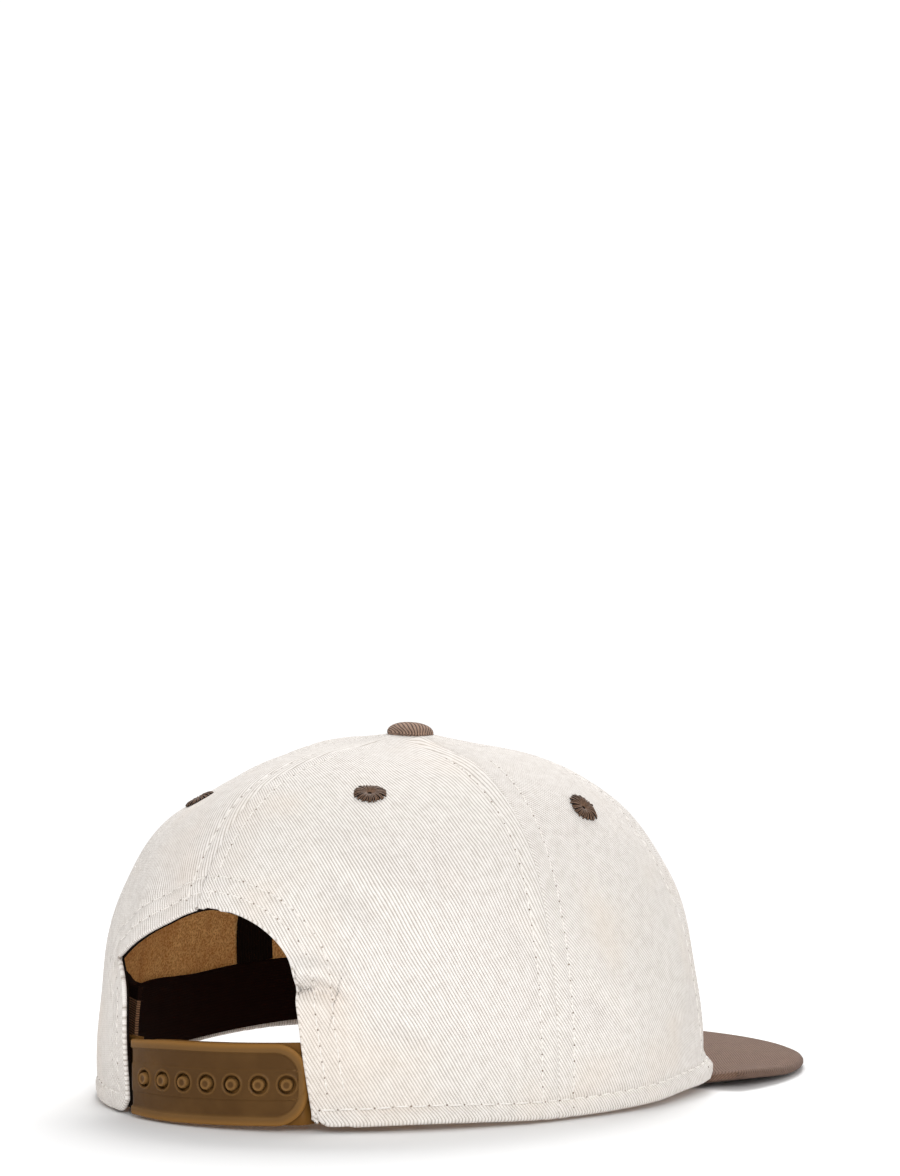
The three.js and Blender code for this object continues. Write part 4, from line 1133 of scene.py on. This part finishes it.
def joined_plan(blocks):
    """Joins blocks into one plan and merges the points that lie on the same spot."""
    points, faces, start = [], [], 0
    for block_points, block_faces in blocks:
        points.append(block_points)
        faces.append(block_faces + start)
        start += len(block_points)
    points, faces = np.concatenate(points), np.concatenate(faces)
    _, keep, where = np.unique(np.round(points, 3), axis=0, return_index=True, return_inverse=True)
    return points[keep], where.ravel()[faces]


def free_edges(faces):
    """Edges that belong to one face only, in the direction that the face has them."""
    edges = np.concatenate([faces[:, [k, (k + 1) % 4]] for k in range(4)])
    count = faces.max() + 1
    key = edges.min(1) * count + edges.max(1)
    _, first, times = np.unique(key, return_index=True, return_counts=True)
    return edges[first[times == 1]]


def plate_body(plan, faces, front, back):
    """Two copies of the plan, front and back, with walls between their free edges."""
    count = len(plan)
    edges = free_edges(faces)
    walls = np.stack([edges[:, 1], edges[:, 0], edges[:, 0] + count, edges[:, 1] + count], -1)
    return np.concatenate([front, back]), [faces, faces[:, ::-1] + count, walls]


# %% [markdown]
# ## Snap strap
# Seen from above, the strap follows the rim across the opening, and its ends go inward under the
# sweatband. The half with the holes has a raised border, a raised band along its middle and a
# ring round each hole. The half below carries seven pegs that stand in the holes.

# %% Strap path
STRAP_HEIGHT, STRAP_THICK, STRAP_MIDDLE = 23.6, 1.5, 12.9
STRAP_SLOPE, STRAP_TAPER = 0.03, 0.08
STRAP_TIP, STRAP_TAB, STRAP_ROUND = 38.2, 11.0, 9.5
STRAP_INSET_RIGHT, STRAP_INSET_LEFT = 5.2, 2.9
OPENING = (-27.4, 39.1)
line_turns = np.arange(-34.0, 46.5, 0.5)
line = wall(line_turns, down_at(line_turns, profile(line_turns)[4] + 11), 0.0)[:, :2]
line_length = run_length(line)
line_length -= np.interp(ARCH_MIDDLE, line_turns, line_length)
line_way = unit(np.gradient(line, axis=0))


def strap_point(s, height, depth):
    """A place on the strap: s along it, height above its middle line, depth inward from its front."""
    base = np.stack([np.interp(s, line_length, line[:, n]) for n in (0, 1)], -1)
    way = unit(np.stack([np.interp(s, line_length, line_way[:, n]) for n in (0, 1)], -1))
    right, left = ease((OPENING[0] + 2.9 - s) / 5.2), ease((s - OPENING[1] + 2.6) / 4.0)
    inset = STRAP_INSET_RIGHT * right + STRAP_INSET_LEFT * left
    inward = np.stack([-way[..., 1], way[..., 0]], -1)
    spot = base + inward * (inset + depth)[..., None]
    narrow = 1 - STRAP_TAPER * ease((-5 - s) / 25)
    z = STRAP_MIDDLE + STRAP_SLOPE * s + height * narrow
    return np.concatenate([spot, z[..., None]], -1)


def strap_half_height(s, round_from, way):
    """Half the strap's height: full, then a quarter circle down to the tip."""
    q = np.clip((s - round_from) * way / STRAP_ROUND, 0, 0.995)
    return STRAP_HEIGHT / 2 - STRAP_ROUND * (1 - np.sqrt(1 - q * q))


def in_outline(s, h, round_from, way):
    """Distance inside the rounded outline of a strap half."""
    half = STRAP_HEIGHT / 2
    qx = (s - round_from) * way
    qy = np.abs(h) - (half - STRAP_ROUND)
    corner = STRAP_ROUND - np.hypot(np.maximum(qx, 0), np.maximum(qy, 0))
    return np.where(qx > 0, corner, half - np.abs(h))


# %% Upper half with holes
BORDER_WIDTH, RING_RADIUS = 2.5, 3.05
BORDER_RISE, BAND_RISE, RING_RISE, PLATE_DROP = 0.62, 0.30, 0.30, 0.60
block_half = HOLE_PITCH / 2
first_block = FIRST_HOLE - block_half
last_block = FIRST_HOLE + (HOLE_COUNT - 0.5) * HOLE_PITCH
tab_end = OPENING[0] - STRAP_TAB
band_rows = np.linspace(-block_half, block_half, BLOCK_CELLS + 1)
outer_rows = np.linspace(block_half, STRAP_HEIGHT / 2, 20)
tab_cols = np.linspace(tab_end, first_block, 40)
hole_cols = np.linspace(first_block, last_block, HOLE_COUNT * BLOCK_CELLS + 1)
tip_cols = np.linspace(last_block, STRAP_TIP, 10)
blocks = [square_block(FIRST_HOLE + k * HOLE_PITCH) for k in range(HOLE_COUNT)]
for columns in (tab_cols, tip_cols):
    blocks.append(even_block(columns, band_rows))
for columns in (tab_cols, hole_cols, tip_cols):
    blocks.append(even_block(columns, outer_rows))
    blocks.append(even_block(columns, -outer_rows[::-1]))
plan, plan_faces = joined_plan(blocks)
s, h = plan[:, 0], plan[:, 1]
round_from = STRAP_TIP - STRAP_ROUND
full = strap_half_height(s, round_from, 1)
waist = np.minimum(block_half, 0.55 * full)
outside = np.abs(h) > block_half
stretched = waist + (np.abs(h) - block_half) * (full - waist) / (STRAP_HEIGHT / 2 - block_half)
h = np.where(outside, np.sign(h) * stretched, h * waist / block_half)
inside = in_outline(s, h, round_from, 1)
border = 1 - ease((inside - BORDER_WIDTH) / 0.45)
band_half, band_start = 4.5, FIRST_HOLE - 12
band_stop = FIRST_HOLE + (HOLE_COUNT - 1) * HOLE_PITCH + 1.2
over = np.maximum(0, np.maximum(band_start - s, s - band_stop))
band = ease((band_half - np.hypot(over, h)) / 0.35)
nearest = np.clip(np.round((s - FIRST_HOLE) / HOLE_PITCH), 0, HOLE_COUNT - 1)
radius = np.hypot(s - FIRST_HOLE - nearest * HOLE_PITCH, h)
ring = channel(radius - RING_RADIUS, 0.26)
lip = 0.35 * (1 - ease(inside / 0.45))
relief = BORDER_RISE * border + BAND_RISE * band + RING_RISE * ring - lip - PLATE_DROP
# The second mark is a painted highlight on the raised border, the rings and the band's edges.
band_lines = 4 * band * (1 - band)
plan_marks = np.stack([inside, np.maximum(border, np.maximum(ring, band_lines))], -1)
front = strap_point(s, h, -relief)
back = strap_point(s, h, np.full(len(s), STRAP_THICK))
points, faces = plate_body(plan, plan_faces, front, back)
marks = np.concatenate([plan_marks, plan_marks])
piece("snap_strap_holes_plate", points, faces, strap_plastic,
      ["snap_strap_holes"], marks, crease=38)

# %% Under half with pegs
PEG_RADIUS, PEG_STAND, PEG_SIDES, UNDER_DEPTH = 1.75, 0.6, 28, STRAP_THICK + 0.3
under_start, under_end = FIRST_HOLE - 6.6, OPENING[1] + STRAP_TAB
plan, plan_faces = even_block(np.linspace(under_start, under_end, 90), np.linspace(-1, 1, 27))
s = plan[:, 0]
under_round = under_start + STRAP_ROUND
h = plan[:, 1] * strap_half_height(s, under_round, -1)
inside = in_outline(s, h, under_round, -1)
relief = 0.30 * (1 - ease((inside - 2.7) / 0.7)) - 0.3 * (1 - ease(inside / 0.45)) - 0.3
front = strap_point(s, h, UNDER_DEPTH - relief)
back = strap_point(s, h, np.full(len(s), UNDER_DEPTH + STRAP_THICK))
points, faces = plate_body(plan, plan_faces, front, back)
parts = [(points, facing_outward(points, faces))]
plate_count = len(points)


def lathe(outline, sides):
    """A turned body from (radius, height) pairs; both ends of the outline lie on the axis."""
    angle = np.linspace(0, 2 * np.pi, sides, endpoint=False)
    radius, height = outline[1:-1, 0:1], outline[1:-1, 1:2]
    rings = np.stack([radius * np.cos(angle), radius * np.sin(angle), height + 0 * angle], -1)
    rows = len(rings)
    points = np.concatenate([rings.reshape(-1, 3), [[0, 0, outline[0, 1]], [0, 0, outline[-1, 1]]]])
    k = np.arange(sides)
    n = (k + 1) % sides
    start, end = rows * sides, rows * sides + 1
    fans = [np.stack([n, k, np.full(sides, start)], -1),
            np.stack([k + (rows - 1) * sides, n + (rows - 1) * sides, np.full(sides, end)], -1)]
    return points, [grid_faces(rows, sides, wrap_cols=True), *fans]


PEG_TOP = 1.78
peg_outline = np.array([
    (0, -0.9), (PEG_RADIUS, -0.9), (PEG_RADIUS, 1.4), (PEG_RADIUS - 0.08, 1.62),
    (PEG_RADIUS - 0.3, PEG_TOP), (PEG_RADIUS - 0.55, 1.72), (0.7, 1.62), (0, 1.60)])
peg_outline[:, 1] *= (UNDER_DEPTH + PEG_STAND) / PEG_TOP
peg, peg_faces = lathe(peg_outline, PEG_SIDES)
for k in range(HOLE_COUNT):
    at = FIRST_HOLE + k * HOLE_PITCH
    ends_s = np.array([at - 0.5, at + 0.5, at])
    low, high, centre = strap_point(ends_s, np.zeros(3), np.full(3, UNDER_DEPTH))
    way = unit(high - low)
    up = np.array([0.0, 0.0, 1.0])
    forward = unit(np.cross(up, way))
    if forward @ (strap_point(ends_s[2:], np.zeros(1), np.zeros(1))[0] - centre) < 0:
        forward = -forward
    body = centre + peg[:, :1] * way + peg[:, 1:2] * up + peg[:, 2:] * forward
    parts.append((body, facing_outward(body, peg_faces)))
points, faces = joined(parts)
# The marks set the painted light: distance from an edge, and 1.5 on each peg's rounded rim for a
# painted highlight.
marks = np.zeros((len(points), 2))
on_plate = np.arange(len(points)) < plate_count
marks[:, 0] = np.where(on_plate, 1.0, 1.75)
peg_places = np.concatenate([np.repeat(peg_outline[1:-1], PEG_SIDES, 0), peg_outline[[0, -1]]])
peg_across, peg_height = np.tile(peg_places, (HOLE_COUNT, 1)).T
marks[~on_plate, 1] = 1.5 * ((peg_height > UNDER_DEPTH) & (peg_across > 1.0))
piece("snap_strap_pegs_plate", points, faces, strap_plastic,
      ["snap_strap_pegs"], marks, crease=38)

# %% [markdown]
# ## Button and eyelets
# The button is a small dome covered with a coarser brown twill than the peak's, gathered below.
# An eyelet is embroidered: satin threads lie side by side over a low padding, from the small
# hole out to a slightly ragged rim.

# %% Places on the crown
def stand_on(turn, down, lift):
    """A frame on the cloth: its origin, then the directions to the right, up the cloth and outward."""
    place = lambda t, d: wall(t, d, -folds(t, d) - lift)
    origin = place(turn, down)
    right = unit(place(turn + 0.5, down) - place(turn - 0.5, down))
    above = place(turn, max(0.0005, down - 0.01)) - place(turn, down + 0.01)
    above = unit(above - right * (above @ right))
    return origin, right, above, np.cross(right, above)


def placed(points, frame_on_crown):
    """Moves local points (right, up, outward) into a frame on the crown."""
    origin, right, above, out_way = frame_on_crown
    return origin + points[:, :1] * right + points[:, 1:2] * above + points[:, 2:] * out_way


# %% Button
BUTTON_RADIUS, BUTTON_HEIGHT, BUTTON_SINK, BUTTON_SIDES = 7.1, 3.5, 0.5, 96
dome_angle = np.linspace(0, np.pi / 2, 22)[1:]
dome_radius = BUTTON_RADIUS * np.cos(dome_angle) ** 0.85
dome_height = 0.6 + (BUTTON_HEIGHT - 0.6) * np.sin(dome_angle) ** 1.1
outline = np.concatenate([
    [(0, -2.6), (1.9, -2.6), (1.9, -0.6), (6.6, -0.6),
     (7.0, -0.45), (7.15, -0.1), (7.15, 0.3), (BUTTON_RADIUS, 0.6)],
    np.stack([dome_radius, dome_height], -1)])
outline[-1, 0] = 0
button, button_faces = lathe(outline, BUTTON_SIDES)
turn_angle = np.arctan2(button[:, 1], button[:, 0])
low_part = ease((2.6 - button[:, 2]) / 2.2) * ease((button[:, 2] + 0.3) / 0.6)
gather = 1 + 0.012 * np.sin(turn_angle * 11 + 0.6) * low_part
button[:, :2] *= gather[:, None]
out_way = unit(wall(180.0, NEAR_TOP, -1.0) - wall(180.0, NEAR_TOP, 0.0))
right = unit(np.cross(np.array([0.0, 1.0, 0.0]), out_way))
top_frame = (wall(180.0, NEAR_TOP, BUTTON_SINK), right, np.cross(out_way, right), out_way)
piece("button_covered", placed(button, top_frame), button_faces, button_twill,
      ["button"], button[:, :2] * (1 + 0.35 * low_part[:, None]), crease=80)

# %% Eyelets
EYELETS = {"back_right": (30.2, 0.350), "back_left": (-31.0, 0.415),
           "side_right": (96.0, 0.364), "side_left": (-96.0, 0.364)}
EYELET_RADIUS, EYELET_HOLE, EYELET_THREADS = 5.1, 0.6, 44
# Radius and height of the padding below the threads.
EYELET_BASE = np.array([(0, -0.2), (4.2, -0.2), (4.25, 0.1), (3.9, 0.45), (2.6, 0.62), (1.3, 0.45),
                        (0.8, 0.0), (0, -0.05)])
EYELET_SIDES, THREAD_SIDES = 40, 6
chance = np.random.default_rng(7)


def tubes(lines, radii, around):
    """Closed tubes along many lines (tubes, rings, xyz). Rings lie across the line, and radii
    is per ring."""
    count, rings = lines.shape[:2]
    way = unit(np.gradient(lines, axis=1))
    side = unit(np.cross(way, [0.0003, 0.0002, 1.0]))
    other = np.cross(side, way)
    angle = np.linspace(0, 2 * np.pi, around, endpoint=False)
    spin = side[..., None, :] * np.cos(angle)[:, None] + other[..., None, :] * np.sin(angle)[:, None]
    points = lines[..., None, :] + spin * np.broadcast_to(radii, (count, rings))[..., None, None]
    quads = grid_faces(rings, around, wrap_cols=True)
    cap = np.arange(around)[None, :]
    shift = (np.arange(count) * rings * around)[:, None, None]
    faces = [(group[None] + shift).reshape(-1, group.shape[1])
             for group in (quads, cap[:, ::-1], cap + (rings - 1) * around)]
    return points.reshape(-1, 3), faces


for name, (turn, down) in EYELETS.items():
    k = np.arange(EYELET_THREADS)
    angle = (2 * np.pi * k / EYELET_THREADS + chance.uniform(-0.02, 0.02, EYELET_THREADS))[:, None]
    rim_radius = (EYELET_RADIUS - 0.15 + chance.uniform(-0.55, 0.2, EYELET_THREADS))[:, None]
    q = np.linspace(0, 1, 11)[None, :]
    r = EYELET_HOLE + (rim_radius - EYELET_HOLE) * q
    lean = 0.05 * np.sin(q * np.pi) + chance.uniform(-0.012, 0.012, EYELET_THREADS)[:, None]
    dome = 1.20 * np.sin(np.pi * (0.10 + 0.86 * q)) ** 0.55
    height = -0.45 + dome + 0.17 * np.sin(k * 2.4)[:, None] * q
    lines = np.stack([r * np.cos(angle + lean), r * np.sin(angle + lean), height], -1)
    radii = 0.08 + 0.18 * q ** 0.8
    threads = tubes(lines, radii, THREAD_SIDES)
    base = lathe(EYELET_BASE, EYELET_SIDES)
    points, faces = joined([threads, (base[0], facing_outward(*base))])
    # Each thread ring's height goes to the finish, which paints shade on its lower half; the padding
    # gets 0 and takes the dark shade colour.
    ring_heights = np.sin(np.linspace(0, 2 * np.pi, THREAD_SIDES, endpoint=False))
    marks = np.zeros((len(points), 2))
    marks[:len(threads[0]), 1] = np.tile(ring_heights, len(threads[0]) // THREAD_SIDES)
    spot = stand_on(turn, down, 0.1)
    piece(f"eyelet_{name}_threads", placed(points, spot), faces, brown_thread,
          [f"eyelet_{name}"], marks, crease=80)

# %% [markdown]
# ## Stitches
# A row of lockstitch is a chain of short threads. Each rises from one needle hole, lies on the
# cloth and dips into the next, where a small dark spot of painted shade stands for the hole's
# shadow. A row is a path on the crown, cut into equal stitches by its length.

# %% Stitch rows
def along_path(points, outwards, pitch):
    """Needle holes every pitch along a path, and a function that gives the place and the outward
    direction at any length."""
    length = run_length(points)
    stops = np.arange(0.0, length[-1], pitch)
    spot = lambda values, at: np.stack([np.interp(at, length, values[:, n]) for n in range(3)], -1)
    return stops, lambda at: (spot(points, at), unit(spot(outwards, at)))


def stitch_row(turns, downs, pitch, thread, share=0.80, wobble=0.10, stand=0.10):
    """Threads and needle holes of one row. A thread covers a share of the pitch, and its rings
    follow the cloth."""
    face = cloth_face(turns, downs)
    outwards = unit(cloth_face(turns, downs, 1.0) - face)
    stops, at = along_path(face, outwards, pitch)
    count = len(stops) - 1
    t = np.linspace(-0.5, 0.5, 7)[None, :] * share
    places = stops[:-1, None] + pitch * (0.5 + t)
    centre, out_way = at(places.ravel())
    centre, out_way = centre.reshape(count, -1, 3), out_way.reshape(count, -1, 3)
    bend = 1 - (2 * np.abs(t) / share) ** 3
    lift = stand - (thread * 1.5) * (1 - bend)
    side = np.cross(out_way, unit(np.gradient(centre, axis=1)))
    aside = chance.uniform(-wobble, wobble, (count, 1, 1))
    slant = chance.uniform(-wobble, wobble, (count, 1, 1))
    sway = aside + slant * (t / share * 2)[..., None]
    lines = centre + out_way * lift[..., None] + side * sway
    radii = thread * np.array([0.55, 0.9, 1, 1, 1, 0.9, 0.55])
    threads = tubes(lines, radii, THREAD_SIDES)
    hole_spot, hole_out = at(stops)
    return threads, dimples(hole_spot, hole_out)


DIMPLE_SIDES = 8


def dimples(spots, outwards, radius=0.27):
    """Small dark studs at the needle holes, painted shade for the shadow in each hole: a ring just
    above the cloth, closed by a point above it and a point in the cloth."""
    right = unit(np.cross(outwards, [0.01, 0.02, 1.0]))
    above = np.cross(outwards, right)
    angle = np.linspace(0, 2 * np.pi, DIMPLE_SIDES, endpoint=False)
    sizes = radius * chance.uniform(0.75, 1.15, (len(spots), 1, 1))
    circle = right[:, None] * np.cos(angle)[:, None] + above[:, None] * np.sin(angle)[:, None]
    rim = spots[:, None] + circle * sizes + outwards[:, None] * 0.05
    top = spots + outwards * 0.09
    foot = spots - outwards * 0.3
    points = np.concatenate([rim, top[:, None], foot[:, None]], 1)
    k = np.arange(DIMPLE_SIDES)
    n = (k + 1) % DIMPLE_SIDES
    tip, end = np.full(DIMPLE_SIDES, DIMPLE_SIDES), np.full(DIMPLE_SIDES, DIMPLE_SIDES + 1)
    fan = np.concatenate([np.stack([k, n, tip], -1), np.stack([n, k, end], -1)])
    shift = (np.arange(len(spots)) * (DIMPLE_SIDES + 2))[:, None, None]
    return points.reshape(-1, 3), [(fan[None] + shift).reshape(-1, 3)]


def seam_row(seam, offset, start, stop):
    """A row beside a seam, offset millimetres to its right."""
    downs = np.linspace(start, stop, 400)
    turns = seam_turn(seam, downs)
    for _ in range(3):
        turns = seam_turn(seam, downs) + offset / millimetres_per_degree(turns, downs)
    return turns, downs


SEAM_PITCH, HEM_PITCH, ARCH_PITCH = 4.7, 5.3, 4.6
THREAD, HEM_THREAD = 0.17, 0.27
rows = []
for name, seam in SEAMS.items():
    stop = 0.995 if name != "centre_back" else float(top_down) - 0.012
    start = 0.16 if name != "centre_back" else 0.13
    for sign in (-1, 1):
        rows.append((seam_row(seam, sign * SEAM_ROWS[name], start, stop), SEAM_PITCH, THREAD))
hem_turns = np.linspace(RIGHT_LEG + 0.6, LEFT_LEG + 360 - 0.6, 3000)
hem_heights = look_up(UP_TABLE, hem_turns, np.full(len(hem_turns), 0.95))
hem_downs = 1 - 0.05 * HEM_ROW / hem_heights
hem_downs = 1 - (1 - hem_downs) * HEM_ROW / look_up(UP_TABLE, hem_turns, hem_downs)
rows.append(((hem_turns, hem_downs), HEM_PITCH, HEM_THREAD))


def arch_row(distance):
    """A row round the arch at one distance: the edge's places moved away from it across the cloth."""
    turns, downs = (x.copy() for x in ARCH_PLACES)
    line = upright_crown(turns, downs)
    way = unit(np.gradient(line, axis=0))
    out_way = outward(turns, downs)
    aside = np.cross(way, out_way)
    centre = upright_crown(ARCH_MIDDLE, 0.85)
    aside *= np.where(((line - centre) * aside).sum(-1, keepdims=True) < 0, -1, 1)
    target = line + aside * distance
    for _ in range(12):
        here = upright_crown(turns, downs)
        step_turn = (upright_crown(turns + 0.1, downs) - here) / 0.1
        lower = upright_crown(turns, np.minimum(1, downs + 0.001))
        step_down = (lower - upright_crown(turns, downs - 0.001)) / 0.002
        miss = target - here
        turns += (miss * step_turn).sum(-1) / (step_turn ** 2).sum(-1) * 0.9
        downs += (miss * step_down).sum(-1) / (step_down ** 2).sum(-1) * 0.9
        downs = np.clip(downs, 0.1, 0.995)
    keep = (downs < 0.985) & (np.abs(turns) < 60)
    return turns[keep], downs[keep]


for distance in ARCH_ROWS:
    rows.append((arch_row(distance), ARCH_PITCH, THREAD))
built = [stitch_row(*places, pitch, thread) for places, pitch, thread in rows]
points, faces = joined([threads for threads, _ in built])
piece("crown_stitches", points, faces, bone_thread, crease=80)
points, faces = joined([holes for _, holes in built])
piece("crown_needle_hole_shade", points, faces, needle_shadow, crease=80)

# %% [markdown]
# ## Surface, light and camera
# The cap stands on a plain white surface under a white sky, brighter low down than overhead. A
# large soft lamp above and in front of the peak lays the shadow toward the viewer, and a second
# one on the viewer's side fills in the back. A very small lamp inside the crown stands in for the
# light that falls on the lining. The camera looks at the cap's back right from just above the
# surface.

# %% Surface and light
scene = bpy.context.scene
floor_mesh = bpy.data.meshes.new("floor")
size = 0.42
floor_corners = [(-size, -size, 0), (size, -size, 0), (size, size, 0), (-size, size, 0)]
floor_mesh.from_pydata(floor_corners, [], [(0, 1, 2, 3)])
floor = bpy.data.objects.new("floor", floor_mesh)
scene.collection.objects.link(floor)
floor_paint, _, floor_surface = new_finish("white_surface")
floor_surface.inputs["Base Color"].default_value = (0.91, 0.91, 0.91, 1)
floor_surface.inputs["Roughness"].default_value = 0.9
floor_surface.inputs["Specular IOR Level"].default_value = 0.0
floor_mesh.materials.append(floor_paint)

SKY_LOW_DOWN, SKY_OVERHEAD = 1.06, 0.45
world = bpy.data.worlds.new("studio")
scene.world = world
world.use_nodes = True
sky = world.node_tree
upward = wire(sky, "SeparateXYZ", {0: wire(sky, "TexCoord", {}, 0)}, 2)
strength = stepped(sky, upward, 0.12, 0.8, SKY_LOW_DOWN, SKY_OVERHEAD)
sky.links.new(strength, sky.nodes["Background"].inputs["Strength"])
sky.nodes["Background"].inputs["Color"].default_value = (1, 1, 1, 1)


def soft_lamp(name, place, aim, size, power):
    """A square lamp that points at a place."""
    data = bpy.data.lights.new(name, "AREA")
    data.energy, data.size = power, size
    lamp = bpy.data.objects.new(name, data)
    lamp.location = place
    way = np.array(aim) - np.array(place)
    lamp.rotation_euler = Vector(way).to_track_quat("-Z", "Y").to_euler()
    scene.collection.objects.link(lamp)
    return lamp


soft_lamp("back_lamp", (0.30, -0.58, 0.95), (0, 0.03, 0.0), 0.6, 10.2)
soft_lamp("fill_lamp", (-0.80, 0.97, 0.54), (0, 0.02, 0.05), 0.5, 7.9)
soft_lamp("inside_lamp", (0.005, 0.070, 0.084), (0.02, -0.05, 0.03), 0.02, 0.033)

# %% Camera
# The lens is tilted up by half of what the framing needs, and shifted by the other half.
CAMERA = np.array([-0.685287, 0.933776, 0.162863])
AIM = np.array([-0.001784, 0.023527, 0.056651])
LENS, SENSOR, SHIFT_X, SHIFT_Y, TILT = 113.146, 36, 0.0335, 0.2692, math.radians(2.45)
view = AIM - CAMERA
level = math.hypot(view[0], view[1])
pitch = math.atan2(view[2], level) + TILT
direction = Vector((view[0] / level * math.cos(pitch), view[1] / level * math.cos(pitch),
                       math.sin(pitch)))
lens_data = bpy.data.cameras.new("camera")
lens_data.sensor_width = SENSOR
lens_data.lens = LENS * math.cos(TILT) ** 1.5
lens_data.shift_x = SHIFT_X
lens_data.shift_y = SHIFT_Y - lens_data.lens / SENSOR * math.tan(TILT)
lens_data.clip_end = 30
camera = bpy.data.objects.new("camera", lens_data)
camera.location = CAMERA
camera.rotation_euler = direction.to_track_quat("-Z", "Y").to_euler()
scene.collection.objects.link(camera)
scene.camera = camera
scene.view_settings.view_transform = "Standard"
scene.view_settings.look = "None"
